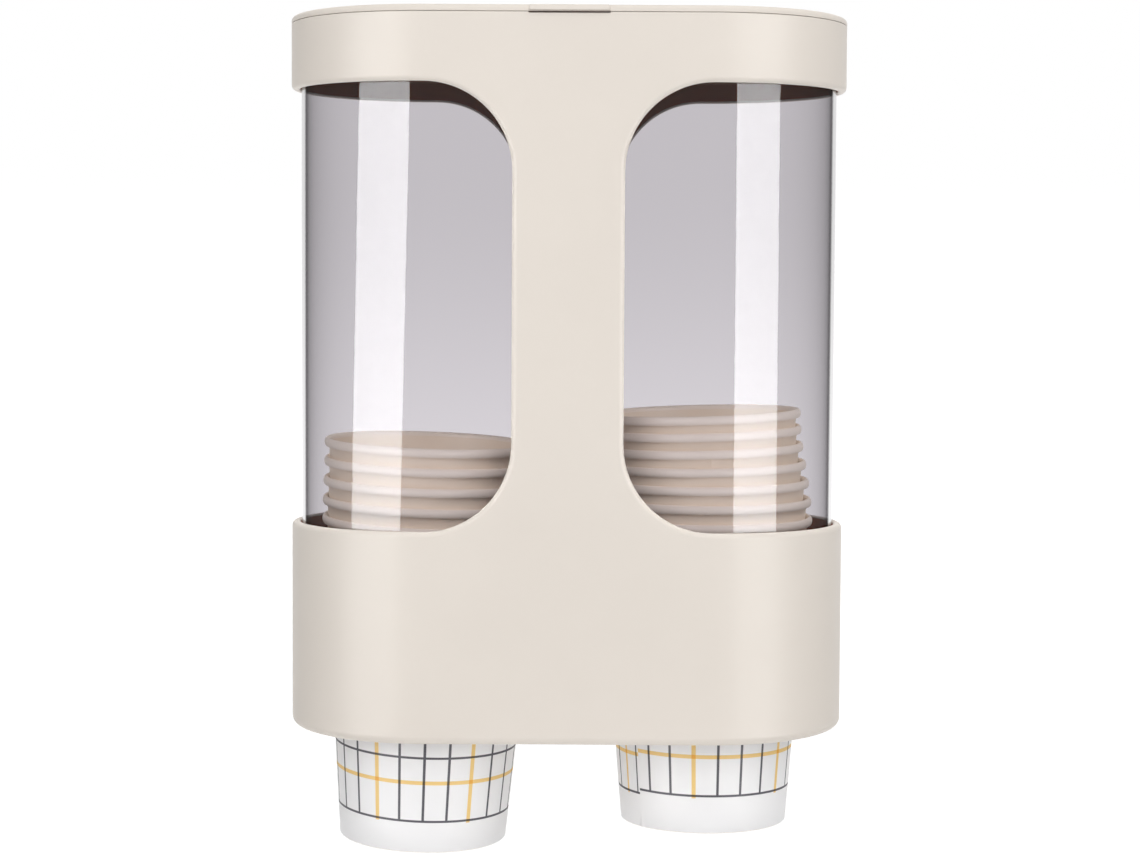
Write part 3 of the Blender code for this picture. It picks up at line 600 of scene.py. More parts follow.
def flatOutline():
    corner = body["halfFlat"] - body["spineHalf"]
    right = [(shellEnd, 0), (shellEnd, body["sill"])]
    for centre, start in ((body["sill"] + corner, -90), (body["head"] - corner, 180)):
        right += arc(body["halfFlat"], centre, corner, start, -90, body["arcSteps"])
    right += [(shellEnd, body["head"]), (shellEnd, body["height"])]
    return right + [(-run, height) for run, height in reversed(right)]


def pullLedge(bm, bottom, top, depth):
    for height in (bottom, top):
        inner = [face for face in bm.faces if face.normal.y > 0.9]
        verts = list(dict.fromkeys(vert for face in inner for vert in face.verts))
        bmesh.ops.bisect_plane(bm, geom=inner + edgesOf(inner) + verts, dist=body["small"],
                               plane_co=(0, 0, height), plane_no=(0, 0, 1))
        bm.normal_update()
    strip = [face for face in bm.faces if face.normal.y > 0.9 and bottom < face.calc_center_median().z < top]
    extrude(bm, strip + edgesOf(strip), (0, depth - body["wall"], 0))
    bm.normal_update()


def roundEdges(bm, test, radius, segments, depth=0.0):
    edges = [edge for edge in bm.edges
             if all(abs(vert.co.y - depth) < body["small"] and test(vert.co) for vert in edge.verts)]
    bevelEdges(bm, edges, radius, segments)
    bm.normal_update()


def shellSheet():
    # The H-shaped shell rolled out flat, with its ledges, rounded edges and the cuts that let it bend
    small, footRound = body["small"], body["footRound"]

    def atWindow(co):
        return body["sill"] - small < co.z < body["head"] + small

    bm = bmesh.new()
    face = bm.faces.new([bm.verts.new((run, 0, height)) for run, height in flatOutline()])
    extrude(bm, [face], (0, body["wall"], 0))
    bmesh.ops.recalc_face_normals(bm, faces=bm.faces)
    bm.normal_update()
    pullLedge(bm, -0.0003, body["flangeTop"], body["ledge"])
    pullLedge(bm, *body["deckLedge"], body["ledge"])
    pullLedge(bm, *body["mouthLedge"], body["mouthLedgeDepth"])
    roundEdges(bm, atWindow, body["windowRound"], 6)
    roundEdges(bm, atWindow, body["windowInnerRound"], 3, body["wall"])
    roundEdges(bm, lambda co: co.z < small, footRound, 7)
    roundEdges(bm, lambda co: co.z > body["height"] - small, body["lipRound"], 2)
    roundEdges(bm, lambda co: abs(co.x) > shellEnd - small and co.z > footRound - small, body["lipRound"], 2)
    for step in range(body["columns"]):
        run = body["halfFlat"] + body["endRadius"] * math.pi / 2 * step / body["columns"]
        for plane in (run, -run):
            bmesh.ops.bisect_plane(bm, geom=bm.verts[:] + bm.edges[:] + bm.faces[:], dist=small,
                                   plane_co=(plane, 0, 0), plane_no=(1, 0, 0))
    return bm


def knuckle(side, start, end, radius):
    first, last = [(side * hinge["x"] + x, hinge["y"], hinge["z"]) for x in (start, end)]
    return rod(first, last, radius)


def makeShell(name, side):
    shell = newPiece(name, shellSheet(), cream, place=False)
    runTree(shell, wrapRound, {"End Radius": body["endRadius"], "Half Flat": body["halfFlat"],
                               "Side": float(side), "Material": cream})
    shell.data.transform(Matrix.Translation((0, planDepth, foot)))
    recalcNormals(shell)
    inside = side * (body["endRadius"] - body["wall"] / 2)
    for z in screws["heights"]:
        join(shell, rod((0, inside, z), (0, side * 0.00015, z), screws["bossRadius"]))
        if side > 0:
            cut(shell, rod((0, 0.06, z), (0, screws["counterboreDepth"], z), screws["counterbore"]),
                rod((0, 0.02, z), (0, -0.003, z), screws["clearance"]))
        else:
            cut(shell, rod((0, 0.003, z), (0, -0.016, z), screws["pilot"]))
    return shell


frontShell = makeShell("front_shell_dressed", -1)
cut(frontShell, block((-lidTab["half"], -body["endRadius"] - 0.003, body["height"] - lidTab["notch"]),
                      (lidTab["half"], -body["endRadius"] + 0.0018, body["height"] + 0.003)))

rearShell = makeShell("rear_shell_dressed", 1)
root = body["endRadius"] - body["wall"] / 2
lipFront, lipBack = channel["lipDepth"]
railLow, railHigh = channel["railHeights"]
for side in (-1, 1):
    web = sorted((side * channel["half"], side * channel["webHalf"]))
    lip = sorted((side * channel["half"], side * channel["lipHalf"]))
    join(rearShell, block((web[0], root, railLow), (web[1], lipBack, channel["top"])),
         softBlock((lip[0], lipFront, railLow), (lip[1], lipBack, channel["top"]), channel["round"], 2))
join(rearShell, block((-channel["half"], root, railHigh + 0.0003), (channel["half"], lipBack, channel["top"])))
near, far = hinge["shellSpan"]
for side in (-1, 1):
    gap = hinge["lidHalf"] + hinge["gap"]
    cut(rearShell, knuckle(side, -gap, gap, hinge["radius"] + hinge["gap"]))
    join(rearShell, *[knuckle(side, end * near, end * far, hinge["radius"]) for end in (-1, 1)])
cut(rearShell, rod((-2 * hinge["x"], hinge["y"], hinge["z"]), (2 * hinge["x"], hinge["y"], hinge["z"]),
                   hinge["pinHole"]))
for shell, node in ((frontShell, "front_shell"), (rearShell, "rear_shell")):
    # painted shade: brown on the shell's inner faces
    paintShadeInside(shell, body["wall"] - 0.00005)
    smoothFaces(shell)
    fit(shell, "housing", "cream_shell", node)
print("shells made")


# Lid with its tab, rib and hinge knuckles

lidShape = {"bottom": 0.25262, "thickness": 0.00238, "round": 0.0015, "rib": (0.0050, 0.0064), "ribDrop": 0.0034}


def lidEdge(low):
    # (offset, height) up the lid's edge, which is rounded at the top
    radius = lidShape["round"]
    shoulder = lidShape["bottom"] + lidShape["thickness"] - radius
    return [(0.0002, low), (0.0, low + 0.0002)] + arc(radius, shoulder, radius, 180, -90, 6)


def tabSlab():
    # The tab has the lid's own edge, set forward, and round corners in plan
    front, back = -body["endRadius"] - lidTab["proud"], -body["endRadius"] + 0.0045
    corner = lidTab["corner"]
    rings = []
    for offset, z in lidEdge(lidShape["bottom"] + 0.0003):
        half = lidTab["half"] - 0.3 * offset
        ring = [(half, back, z), (-half, back, z)]
        for side, start in ((-1, 180), (1, 270)):
            ring += [(x, y, z) for x, y in arc(side * (half - corner), front + offset + corner, corner, start, 90, 6)]
        rings.append(ring)
    return skin(rings, capped=True)


lid = newPiece("lid_dressed", planSkin(lidEdge(lidShape["bottom"]), capped=True), cream)
ribLow, (ribOuter, ribInner) = lidShape["bottom"] - lidShape["ribDrop"], lidShape["rib"]
ribProfile = [(ribOuter, lidShape["bottom"] + 0.001), (ribInner, lidShape["bottom"] + 0.001),
              (ribInner, ribLow + 0.0003), (ribInner - 0.0003, ribLow), (ribOuter + 0.0006, ribLow),
              (ribOuter + 0.0003, ribLow + 0.0003)]
join(lid, planSkin(ribProfile), tabSlab())
for side in (-1, 1):
    cut(lid, *[knuckle(side, end * (near - hinge["gap"]), end * (far + hinge["gap"]), hinge["radius"] + hinge["gap"])
               for end in (-1, 1)])
    join(lid, knuckle(side, -hinge["lidHalf"], hinge["lidHalf"], hinge["radius"]))
    cut(lid, knuckle(side, -hinge["pinHalf"], hinge["pinHalf"], hinge["pinHole"]))
# Painted shade: the lid's underside, away from the hinge, gets the inner brown
lid.data.materials.append(innerShadeBrown)
for face in lid.data.polygons:
    below = face.normal.z < -0.9 or face.center.z < foot + lidShape["bottom"] - 0.0001
    if below and face.center.y < planDepth + hinge["y"] - 0.004:
        face.material_index = 1
smoothFaces(lid)
fit(lid, "lid_leaf", "cream_shell", "lid")
print("lid made")


# Smoked tube

tubeShape = {"offset": 0.00352, "wall": 0.0020, "bottom": 0.0441, "top": 0.2392, "edge": 0.0003, "facets": 96}


def tubeRings():
    outer, inner, edge = tubeShape["offset"], tubeShape["offset"] + tubeShape["wall"], tubeShape["edge"]
    low, high = tubeShape["bottom"], tubeShape["top"]
    profile = [(outer + edge, low), (inner - edge, low), (inner, low + edge), (inner, high - edge),
               (inner - edge, high), (outer + edge, high), (outer, high - edge), (outer, low + edge)]
    return planSkin(profile, facets=tubeShape["facets"])


tube = smoothFaces(newPiece("cup_tube_dressed", tubeRings(), smokedPlastic()))
fit(tube, "housing", "smoked_tube", "cup_tube")
print("tube made")


# Cups

cup = {"height": 0.0835, "footRadius": 0.0301, "taper": 0.0790, "paper": 0.00025, "floor": 0.0051,
       "rimRadius": 0.0383, "rimHeight": 0.0033, "skirt": 0.0006, "columns": 96, "overlap": 0.12,
       "seamStep": 0.00012, "wander": 0.00012, "twist": 0.9}

# Values by rank from the lowest cup up, eased between the stated ones: rimX and lift in metres, forward and
# sideways in degrees. The left stack hangs askew, and the right one drifts to the left towards its top
stacks = {
    "left": {"x": -0.0505, "count": 10, "foot": -0.0419, "pitch": 0.0067, "settling": 0.0,
             "turn": math.radians(81.0), "firstLine": 36.4, "printShift": 0.0, "crowding": 0.0, "seed": 3,
             "rimX": ((0, 0.0008), (1, 0.0010), (5, -0.0004), (9, 0.0005)),
             "rimY": ((0, -0.0015), (1, -0.0016), (5, 0.0)),
             "lift": ((0, 0.0003), (1, 0.0003), (5, 0.0), (9, 0.0011)), "forward": ((0, 2.0), (9, 1.3)),
             "sideways": ((0, 1.9), (9, 2.0)), "size": ((0, 1.01), (3, 1.0)),
             "slim": {3: 0.0009, 4: 0.0012, 5: 0.0012, 6: 0.0008, 7: 0.0004}},
    "right": {"x": 0.0505, "count": 11, "foot": -0.0349, "pitch": 0.00695, "settling": 0.0000135,
              "turn": math.radians(-139.6), "firstLine": 40.3, "printShift": 0.0015, "crowding": 0.43, "seed": 8,
              "rimX": ((0, 0.0), (4, 0.0006), (10, -0.0028)), "rimY": ((0, 0.0),), "lift": ((0, 0.0),),
              "forward": ((0, 0.0), (4, 0.6)), "sideways": ((4, 0.0), (10, -1.8)),
              "size": ((4, 1.0), (10, 0.97)), "slim": {}},
}


def cupProfile():
    # (radius, height, 1 outside and 2 on the rim) from the middle of the underside, down the skirt, up the
    # outside, over the rolled rim, down the inside and back to the middle of the floor
    def wall(height):
        return cup["footRadius"] + cup["taper"] * height
    skirt = cup["footRadius"] - cup["skirt"]
    floorTop = cup["floor"] + cup["paper"]
    underRim = cup["height"] - cup["rimHeight"]
    profile = [(0.0, cup["floor"], 0), (skirt - 0.0015, cup["floor"], 0), (skirt - 0.0004, cup["floor"] - 0.0004, 0),
               (skirt, 0.0012, 0), (skirt, 0.0002, 0), (skirt + 0.0002, 0.0, 0),
               (wall(0) - 0.0002, 0.0, 0), (wall(0), 0.0002, 1)]
    for share in (0.1, 0.2, 0.35, 0.5, 0.65, 0.8, 0.9, 0.955, 1.0):
        profile.append((wall(underRim * share), underRim * share, 1))
    middle = cup["height"] - cup["rimHeight"] / 2
    inner = wall(middle) - cup["paper"]
    across = (cup["rimRadius"] - inner) / 2
    profile += [(wall(underRim) + 0.00008, underRim + 0.0001, 0), (wall(underRim) + 0.0003, underRim + 0.00016, 0)]
    for step in range(13):
        angle = math.radians(-58 + 238 * step / 12)
        profile.append((inner + across + across * math.cos(angle),
                        middle + cup["rimHeight"] / 2 * math.sin(angle), 2))
    for height in (underRim - 0.001, 0.0766, 0.0722, 0.060, 0.040, 0.020, floorTop + 0.0012):
        profile.append((wall(height) - cup["paper"], height, 0))
    profile += [(wall(floorTop) - cup["paper"] - 0.0003, floorTop + 0.0003, 0),
                (wall(floorTop) - cup["paper"] - 0.0015, floorTop, 0), (0.0, floorTop, 0)]
    return profile


def cupMesh(stack):
    profile = cupProfile()
    angles = [2 * math.pi * step / cup["columns"] for step in range(cup["columns"])]
    angles = sorted(angles + [0.0015, cup["overlap"]])
    bm = bmesh.new()
    uv = bm.loops.layers.uv.new("UVMap")
    columns = []
    for angle in angles:
        # the paper's free edge stands up at the seam and sinks into the wall behind it
        lifted = cup["seamStep"] * max(0.0, 1 - angle / cup["overlap"]) if angle > 0.001 else 0.0
        column = []
        for radius, height, place in profile:
            if place == 1:
                radius += lifted
            column.append(bm.verts.new((radius * math.cos(angle), radius * math.sin(angle), height)))
        columns.append(column)
    for i, column in enumerate(columns):
        following = columns[(i + 1) % len(columns)]
        start = angles[i] / (2 * math.pi)
        end = angles[i + 1] / (2 * math.pi) if i + 1 < len(angles) else 1.0
        for j in range(len(profile) - 1):
            face = bm.faces.new((column[j], following[j], following[j + 1], column[j + 1]))
            place = min(profile[j][2], profile[j + 1][2])
            for loop, (share, k) in zip(face.loops, ((start, j), (end, j), (end, j + 1), (start, j + 1))):
                level = profile[k][1] - stack["printShift"] if place == 1 else -1.0 - place / 2
                # the right cup's print is crowded a little towards the seam
                share += stack["crowding"] * max(0.0, share - 0.94)
                loop[uv].uv = (share - stack["firstLine"] / 360, level)
    bmesh.ops.remove_doubles(bm, verts=bm.verts, dist=0.0000005)
    return bm


def eased(keys, rank):
    # Smooth course through the stated (rank, value) pairs
    if rank <= keys[0][0]:
        return keys[0][1]
    for (start, first), (end, last) in zip(keys, keys[1:]):
        if rank < end:
            share = (rank - start) / (end - start)
            return first + (last - first) * share * share * (3 - 2 * share)
    return keys[-1][1]


def cupPlaces(stack):
    # Where each cup's foot stands and how it is turned; a cup swings about the middle of its rim
    chance = random.Random(stack["seed"])
    places, z = [], foot + stack["foot"]
    for rank in range(stack["count"]):
        wander = cup["wander"] if rank > 1 else 0.0
        along, across = wander * chance.uniform(-1, 1), wander * chance.uniform(-1, 1)
        rim = Vector((stack["x"] + eased(stack["rimX"], rank) + along,
                      planDepth + eased(stack["rimY"], rank) + across,
                      z + eased(stack["lift"], rank) + cup["height"]))
        swing = (Matrix.Rotation(math.radians(eased(stack["sideways"], rank)) + 8 * along, 4, "Y")
                 @ Matrix.Rotation(math.radians(eased(stack["forward"], rank)) + 8 * across, 4, "X"))
        places.append(Matrix.Translation(rim) @ swing @ Matrix.Translation((0, 0, -cup["height"]))
                      @ Matrix.Rotation(stack["turn"] + cup["twist"] * rank, 4, "Z"))
        z += stack["pitch"] - stack["settling"] * rank ** 2
    return places


def slimCup(vertices, place, squeeze, hidden):
    # A cup that leans across the ones around it, which hide it, is slimmer below the neck
    for vertex in vertices:
        spot = place.inverted() @ vertex.co
        radius = math.hypot(spot.x, spot.y)
        if radius > squeeze and spot.z < hidden:
            share = 1 - squeeze * min(1.0, (hidden - spot.z) / 0.003) / radius
            vertex.co = place @ Vector((spot.x * share, spot.y * share, spot.z))


for side, stack in stacks.items():
    places = cupPlaces(stack)
    widths = [eased(stack["size"], rank) for rank in range(stack["count"])]
    for name, first, last in (("lowest_cup", 0, 1), ("stack", 1, stack["count"])):
        single = newPiece("one_cup", cupMesh(stack), cupPaper, place=False)
        single.data.shade_smooth()
        single.data.set_sharp_from_angle(angle=math.radians(50))
        size = len(single.data.vertices)
        piece = copiesOf(single, f"{side}_{name}_dressed", places[first:last],
                         [(width, width, 1) for width in widths[first:last]], cupPaper)
        for rank in range(first, last):
            if rank in stack["slim"]:
                slimCup(piece.data.vertices[(rank - first) * size:(rank - first + 1) * size], places[rank],
                        stack["slim"][rank], cup["height"] - stack["pitch"] - 0.0005)
        fit(piece, f"{side}_{name}", "cup_paper",
            *[f"cup_{side}_{index:02d}" for index in range(first + 1, last + 1)])
print("cups made")


# Deck, clamp, gaskets, mouth frame and bottom cover

deck = {"offset": 0.0034, "bottom": 0.0411, "top": 0.0438, "holeRadius": 0.0398, "lip": (0.0059, 0.0074),
        "lipTop": 0.0485, "cupX": 0.0505, "facets": 96, "play": 0.0003}
gasket = {"radius": 0.0418, "tip": 0.0365, "root": 0.0394, "thickness": 0.0013, "fingers": 12,
          "slit": math.radians(1.6), "rounding": 0.0009, "steps": 8}
clamp = {"offset": 0.0077, "bottom": 0.0457, "thickness": 0.0020, "screwY": (-0.030, 0.0, 0.030),
         "postRadius": 0.0032, "postBottom": 0.033}
cover = {"bottom": 0.0029, "top": 0.0054, "outlet": 0.0394, "outletWall": 0.0016, "outletTop": 0.0380,
         "post": (0.013, 0.032), "postRadius": 0.0035}
mouth = {"seat": 0.2395, "top": 0.2472, "lipBottom": 0.2360}


def finishInner(piece, node, slotName):
    fit(smoothFaces(piece), "housing", slotName, node)


cupHoles = [circle(side * deck["cupX"], 0, deck["holeRadius"], deck["facets"]) for side in (-1, 1)]
posts = [(xSide * cover["post"][0], ySide * cover["post"][1]) for xSide in (-1, 1) for ySide in (-1, 1)]
lipOuter, lipInner = deck["lip"]
# The deck is coloured with the inner brown, painted shade for the inside of the housing
deckPiece = newPiece("cup_deck_dressed", plate(plan(deck["offset"]), cupHoles, deck["bottom"], deck["top"],
                     [(plan(lipOuter), plan(lipInner), deck["lipTop"], False)]), innerShadeBrown)
seat = deck["top"] + deck["play"] + gasket["thickness"]
join(deckPiece, *[rod((0, y, clamp["postBottom"]), (0, y, seat), clamp["postRadius"]) for y in clamp["screwY"]],
     *[rod((x, y, cover["top"] + deck["play"]), (x, y, deck["bottom"] + deck["play"]), cover["postRadius"])
       for x, y in posts])
finishInner(bevelPiece(deckPiece, 0.0003), "cup_deck", "inner_plastic")

clampTop = clamp["bottom"] + clamp["thickness"]
clampHoles = cupHoles + [circle(0, y, screws["clearance"], 24) for y in clamp["screwY"]]
# painted shade: the clamp plate gets the inner brown too
clampPiece = newPiece("clamp_plate_dressed", plate(plan(clamp["offset"]), clampHoles, clamp["bottom"], clampTop),
                      innerShadeBrown)
finishInner(bevelPiece(clampPiece, 0.0003), "clamp_plate", "inner_plastic")

coverHoles = [circle(x, y, screws["clearance"], 24) for x, y in posts]
guides = [(circle(side * deck["cupX"], 0, cover["outlet"] + cover["outletWall"], deck["facets"]),
           circle(side * deck["cupX"], 0, cover["outlet"], deck["facets"]), cover["outletTop"], True)
          for side in (-1, 1)]
coverPiece = newPiece("bottom_cover_dressed", plate(plan(deck["offset"]), coverHoles, cover["bottom"], cover["top"],
                      guides), cream)
finishInner(bevelPiece(coverPiece, 0.0004, 3), "bottom_cover", "cream_shell")

mouthProfile = [(deck["offset"], mouth["seat"]), (lipOuter, mouth["seat"]), (lipOuter, mouth["lipBottom"]),
                (lipInner - 0.0006, mouth["lipBottom"]), (lipInner, mouth["seat"]),
                (lipInner, mouth["top"] - 0.002), (lipInner - 0.0003, mouth["top"] - 0.0008),
                (lipInner - 0.001, mouth["top"]), (deck["offset"], mouth["top"])]
# painted shade: the mouth frame gets the inner brown too
mouthPiece = newPiece("mouth_frame_dressed", planSkin(mouthProfile), innerShadeBrown)
cut(mouthPiece, rod((0, -0.05, screws["heights"][-1]), (0, 0.05, screws["heights"][-1]),
                    screws["bossRadius"] + 0.0003))
finishInner(mouthPiece, "mouth_frame", "inner_plastic")


def fingerMesh():
    # One twelfth of the gasket: its share of the ring and a finger with a rounded tip
    pitch, steps, root = 2 * math.pi / gasket["fingers"], gasket["steps"], gasket["root"]
    start, end = gasket["slit"], pitch - gasket["slit"]
    bm = bmesh.new()

    def row(radius, start, end, z, rounding=0.0, steps=steps):
        verts = []
        for i in range(steps + 1):
            angle, reach = start + (end - start) * i / steps, radius + rounding * abs(2 * i / steps - 1) ** 4
            verts.append(bm.verts.new((reach * math.cos(angle), reach * math.sin(angle), z)))
        return verts

    bottom = deck["top"] + deck["play"]
    layers = [[row(gasket["radius"], 0, pitch, z), row(root, start, end, z),
               row(gasket["tip"], start, end, z, gasket["rounding"]), row(root, 0, pitch, z, steps=1)]
              for z in (bottom, bottom + gasket["thickness"])]
    for k in range(2):
        for i in range(steps):
            for layer in layers:
                bm.faces.new((layer[k][i], layer[k][i + 1], layer[k + 1][i + 1], layer[k + 1][i]))
    for layer in layers:
        bm.faces.new((layer[0][0], layer[1][0], layer[3][0]))
        bm.faces.new((layer[0][-1], layer[1][-1], layer[3][1]))
    low, high = layers

    # the upright faces, each from one (row, place) to another
    sides = [((k, i), (k, i + 1)) for i in range(steps) for k in (0, 2)]
    for (a, i), (b, j) in sides + [((1, 0), (2, 0)), ((1, -1), (2, -1)), ((3, 0), (1, 0)), ((3, 1), (1, -1))]:
        bm.faces.new((low[a][i], low[b][j], high[b][j], high[a][i]))
    return bm


for side, node in ((-1, "retainer_gasket_left"), (1, "retainer_gasket_right")):
    ring = newPiece(node + "_dressed", fingerMesh(), silicone, place=False)
    runTree(ring, repeatRound, {"Count": gasket["fingers"], "Centre": (side * deck["cupX"], planDepth, foot),
                                "Material": silicone})
    recalcNormals(ring)
    finishInner(bevelPiece(ring, 0.0002), node, "silicone")
print("inner pieces made")


# Screws and pins

screwShape = {"headRadius": 0.0022, "headHeight": 0.0016, "shank": 0.0011, "thread": 0.00035, "threadPitch": 0.0006,
              "recess": 0.0011, "recessWidth": 0.0005, "recessDepth": 0.0008,
              "length": {"shell": 0.0208, "clamp": 0.0117, "cover": 0.0115},
              "turn": {"shell": 0.0, "clamp": 0.4, "cover": 0.7}}


def screwMesh(length):
    # Pan head over a threaded shank that runs down from the seat at z = 0
    head, height, shank = screwShape["headRadius"], screwShape["headHeight"], screwShape["shank"]
    rings = [(0.0, -length), (0.0004, -length)]
    z = -length + 0.0006
    while z < -0.0009:
        rings += [(shank - screwShape["thread"], z), (shank, z + 0.0003)]
        z += screwShape["threadPitch"]
    rings += [(shank - 0.0001, -0.0003), (shank - 0.0001, 0.0003), (head - 0.0002, 0.0003), (head, 0.0005),
              (head, 0.0010), (head - 0.0004, height), (head - 0.0010, height + 0.0003)]
    bm = bmesh.new()
    verts = [bm.verts.new((radius, 0, z)) for radius, z in rings] + [bm.verts.new((0, 0, height + 0.0003))]
    edges = [bm.edges.new(pair) for pair in zip(verts, verts[1:])]
    bmesh.ops.spin(bm, geom=verts + edges, cent=(0, 0, 0), axis=(0, 0, 1), angle=2 * math.pi, steps=20,
                   use_merge=True)
    bmesh.ops.remove_doubles(bm, verts=bm.verts, dist=0.000001)
    return bm


def makeScrews(kind, spots):
    # spots are (point, direction the head faces) in the housing's frame
    single = newPiece("one_screw", screwMesh(screwShape["length"][kind]), steel, place=False)
    top = screwShape["headHeight"] + 0.0006
    for quarter in (0, math.pi / 2):
        arm = block((-screwShape["recess"], -screwShape["recessWidth"] / 2, top - 0.0003 - screwShape["recessDepth"]),
                    (screwShape["recess"], screwShape["recessWidth"] / 2, top))
        bmesh.ops.rotate(arm, verts=arm.verts, cent=(0, 0, 0),
                         matrix=Matrix.Rotation(screwShape["turn"][kind] + quarter, 3, "Z"))
        cut(single, arm, place=False)
    smoothFaces(single, 40)
    places = [Matrix.Translation(Vector(point) + Vector((0, planDepth, foot)))
              @ Vector(way).to_track_quat("Z", "Y").to_matrix().to_4x4() for point, way in spots]
    fit(copiesOf(single, kind + "_screws", places, [(1, 1, 1)] * len(spots), steel), "housing", "screw_steel",
        *[f"{kind}_screw_{index + 1}" for index in range(len(spots))])


makeScrews("shell", [((0, screws["counterboreDepth"], z), (0, 1, 0)) for z in screws["heights"]])
makeScrews("clamp", [((0, y, clampTop), (0, 0, 1)) for y in clamp["screwY"]])
makeScrews("cover", [((x, y, cover["bottom"]), (0, 0, -1)) for x, y in posts])
for side, node in ((-1, "hinge_pin_left"), (1, "hinge_pin_right")):
    pin = newPiece(node + "_dressed", knuckle(side, -hinge["pinHalf"], hinge["pinHalf"], hinge["pin"]), steel)
    finishInner(bevelPiece(pin, 0.0003), node, "screw_steel")
print("screws made")


# Wall bracket and pad

bracket = {"centre": 0.140, "wall": 0.058, "padSize": (0.028, 0.104), "pad": 0.0007, "plateSize": (0.032, 0.112),
           "plate": 0.0020, "corner": 0.004, "headHalf": 0.0132, "neckHalf": 0.0080, "headDepth": (0.0506, 0.0526),
           "screwZ": (0.046, -0.046), "screwHole": 0.0023, "screwSink": 0.0042}


def standing(size, thickness, rearY):
    # A rounded plate behind the housing
    (width, height), corner, points = size, bracket["corner"], []
    for xSide, ySide, start in ((1, -1, -90), (1, 1, 0), (-1, 1, 90), (-1, -1, 180)):
        points += arc(xSide * (width / 2 - corner), ySide * (height / 2 - corner), corner, start, 90, 8)
    bm = plate(points, [], 0, thickness)
    stand = Matrix.Translation((0, rearY, bracket["centre"])) @ Matrix.Rotation(math.pi / 2, 4, "X")
    bmesh.ops.transform(bm, matrix=stand, verts=bm.verts)
    return bm


plateY = bracket["wall"] - bracket["pad"] - 0.0003
bracketPiece = newPiece("wall_bracket_dressed", standing(bracket["plateSize"], bracket["plate"], plateY), cream)
headFront, headBack = bracket["headDepth"]
join(bracketPiece, block((-bracket["neckHalf"], headBack - 0.0005, railLow),
                         (bracket["neckHalf"], plateY - bracket["plate"] / 2, railHigh)),
     softBlock((-bracket["headHalf"], headFront, railLow), (bracket["headHalf"], headBack, railHigh), 0.0004))
front = plateY - bracket["plate"]
for z in bracket["screwZ"]:
    height = bracket["centre"] + z
    cut(bracketPiece, rod((0, plateY + 0.003, height), (0, front - 0.003, height), bracket["screwHole"], 40),
        rod((0, front - 0.0003, height), (0, plateY - 0.0003, height), bracket["screwSink"], 40,
            bracket["screwHole"]))
padPiece = newPiece("wall_pad_dressed", standing(bracket["padSize"], bracket["pad"], bracket["wall"]), foam)
fit(smoothFaces(bracketPiece), "wall", "cream_shell", "wall_bracket")
fit(smoothFaces(padPiece), "wall", "pad_foam", "wall_pad")
print("bracket made")


# Room: white background, pale floor well below, and soft lamps

room = {"floorDrop": 1.1, "floorSize": 8.0, "ambient": 0.19, "bounce": 0.144, "white": 1.0, "lowWhite": 1.3,
        "rise": (-0.11, 0.05), "floorTones": ((0.65, 0.65, 0.65, 1), (0.74, 0.74, 0.74, 1)), "floorFade": (2.0, 6.5)}


def seenItself(nodes):
    # 1 for the rays that show the room, 0 for those that light things by it
    rays = nodes.add("ShaderNodeLightPath", {}, "Is Camera Ray")
    return rays.atLeast(rays.out("Is Transmission Ray")).atLeast(rays.out("Is Glossy Ray"))


world = bpy.data.worlds.new("studio")
scene.world = world
world.use_nodes = True
world.node_tree.nodes.clear()
sky = Nodes(world.node_tree)
# the backdrop is a little brighter towards the floor
upward = sky.add("ShaderNodeSeparateXYZ", {0: sky.add("ShaderNodeTexCoord")}, "Z")
white = room["lowWhite"] + (room["white"] - room["lowWhite"]) * sky.smooth(upward, *room["rise"])
strength = room["ambient"] + (white - room["ambient"]) * seenItself(sky)
backdrop = sky.add("ShaderNodeBackground", {"Color": (1, 1, 1, 1), "Strength": strength})
sky.add("ShaderNodeOutputWorld", {"Surface": backdrop})

floorMesh = bmesh.new()
bmesh.ops.create_grid(floorMesh, x_segments=8, y_segments=8, size=room["floorSize"])
bmesh.ops.translate(floorMesh, verts=floorMesh.verts, vec=(0, 0, foot - room["floorDrop"]))
floorMaterial, nodes = newMaterial("pale_floor")
# the floor is a little brighter far out
spot = nodes.add("ShaderNodeSeparateXYZ", {0: nodes.objectSpace()})
away = (spot * spot + spot.out("Y") * spot.out("Y")) ** 0.5
tone = nodes.mix(nodes.smooth(away, *room["floorFade"]), *room["floorTones"])
closePrincipled(nodes, {
    "Base Color": (0.86, 0.86, 0.86, 1), "Roughness": 0.9, "Emission Strength": 1.3,
    "Emission Color": nodes.mix(seenItself(nodes), (room["bounce"],) * 3 + (1,), tone)})
floor = newPiece("floor", floorMesh, floorMaterial, place=False)

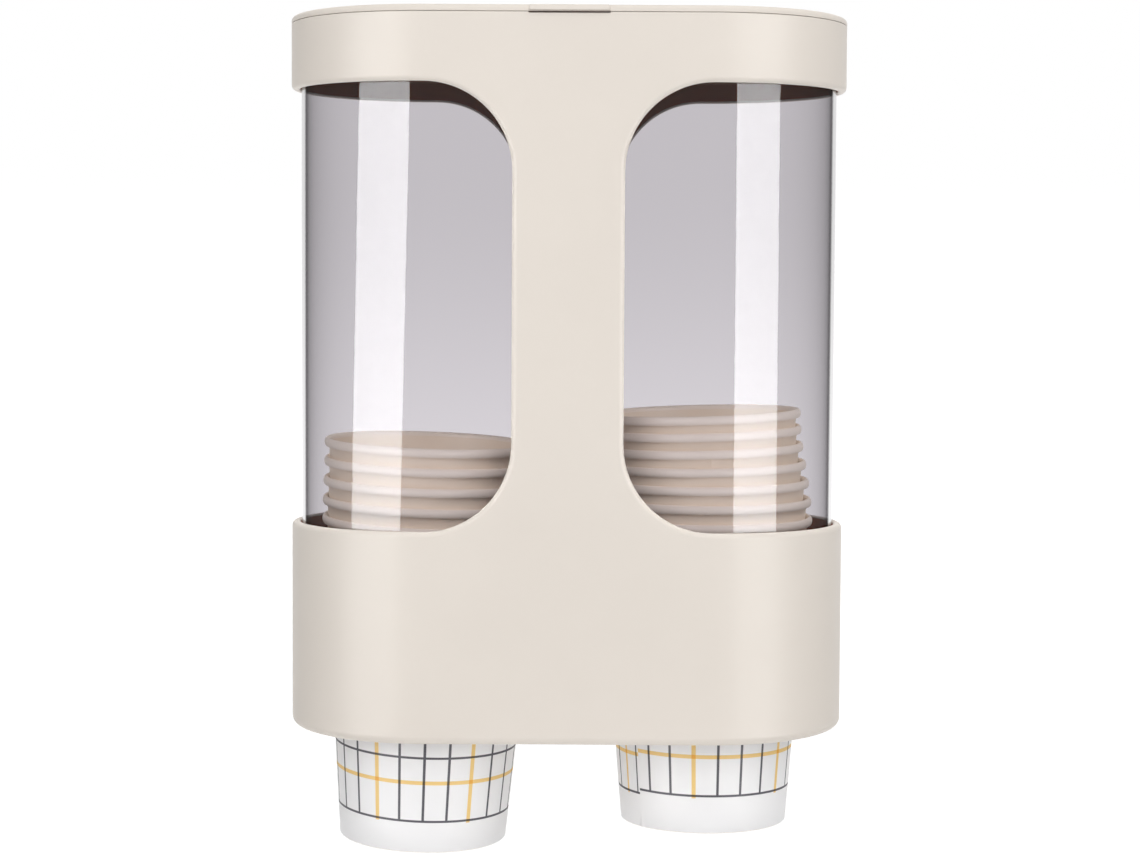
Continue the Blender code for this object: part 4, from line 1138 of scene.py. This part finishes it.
middle = (0, planDepth, 0)
lamps = {
    "front_softbox": {"place": (0, -2.8, 1.3), "aim": middle, "size": (3.0, 2.0), "watts": 50.5},
    "low_front_softbox": {"place": (0, -1.1, -1.05), "aim": (0, planDepth, foot), "size": (1.6, 0.8), "watts": 2.7},
    "rear_softbox": {"place": (0, 2.6, 1.2), "aim": middle, "size": (2.4, 1.6), "watts": 26},
    "overhead_softbox": {"place": (0, -0.6, 1.25), "aim": middle, "size": (1.6, 1.2), "watts": 9},
}
sideBoxes = {"degrees": 105, "reach": 2.0, "height": 0.7, "size": (1.0, 1.6), "watts": {"left": 3.5, "right": 10.5}}
tallBoxes = {"degrees": 44, "reach": 1.3, "glow": 52.5,
             "left": {"size": (0.96, 1.28), "height": -0.02, "roll": -0.50},
             "right": {"size": (0.93, 1.0), "height": -0.06, "roll": 0.0},
             "top": {"size": (1.1, 0.14), "height": 0.31, "watts": 8.5}}


def addLamp(name, place, aim, size, watts, glossy=False, roll=0.0):
    # A box lights the matt surfaces or is mirrored in the glossy ones
    lamp = bpy.data.objects.new(name, bpy.data.lights.new(name, "AREA"))
    lamp.data.shape = "RECTANGLE"
    lamp.data.size, lamp.data.size_y = size
    lamp.data.energy = watts
    facing = (Vector(aim) - Vector(place)).to_track_quat("-Z", "Y").to_matrix().to_4x4()
    lamp.matrix_world = Matrix.Translation(place) @ facing @ Matrix.Rotation(roll, 4, "Z")
    lamp.visible_diffuse, lamp.visible_glossy, lamp.visible_transmission = not glossy, glossy, False
    scene.collection.objects.link(lamp)
    return lamp


def standRound(side, boxes, height):
    azimuth = math.radians(boxes["degrees"])
    return (side * boxes["reach"] * math.sin(azimuth), planDepth - boxes["reach"] * math.cos(azimuth), height)


# the tall boxes are flagged off the flat lid, where they would glare in the views from behind
flagged = bpy.data.collections.new("flagged_off_the_lid")
flagged.objects.link(lid)
flagged.collection_objects[0].light_linking.link_state = "EXCLUDE"

for name, lamp in lamps.items():
    addLamp(name, **lamp)
for side, name in ((-1, "left"), (1, "right")):
    addLamp("side_softbox_" + name, standRound(side, sideBoxes, sideBoxes["height"]), middle, sideBoxes["size"],
            sideBoxes["watts"][name])
    # the upper end of each tall box is brighter
    box, top = tallBoxes[name], tallBoxes["top"]
    for label, shape, watts, roll in (("", box, tallBoxes["glow"] * box["size"][0] * box["size"][1], box["roll"]),
                                      ("top_", top, top["watts"], 0.0)):
        lamp = addLamp("tall_softbox_" + label + name, standRound(side, tallBoxes, shape["height"]),
                       (0, planDepth, shape["height"]), shape["size"], watts, True, roll)
        lamp.light_linking.receiver_collection = flagged
print("room made")
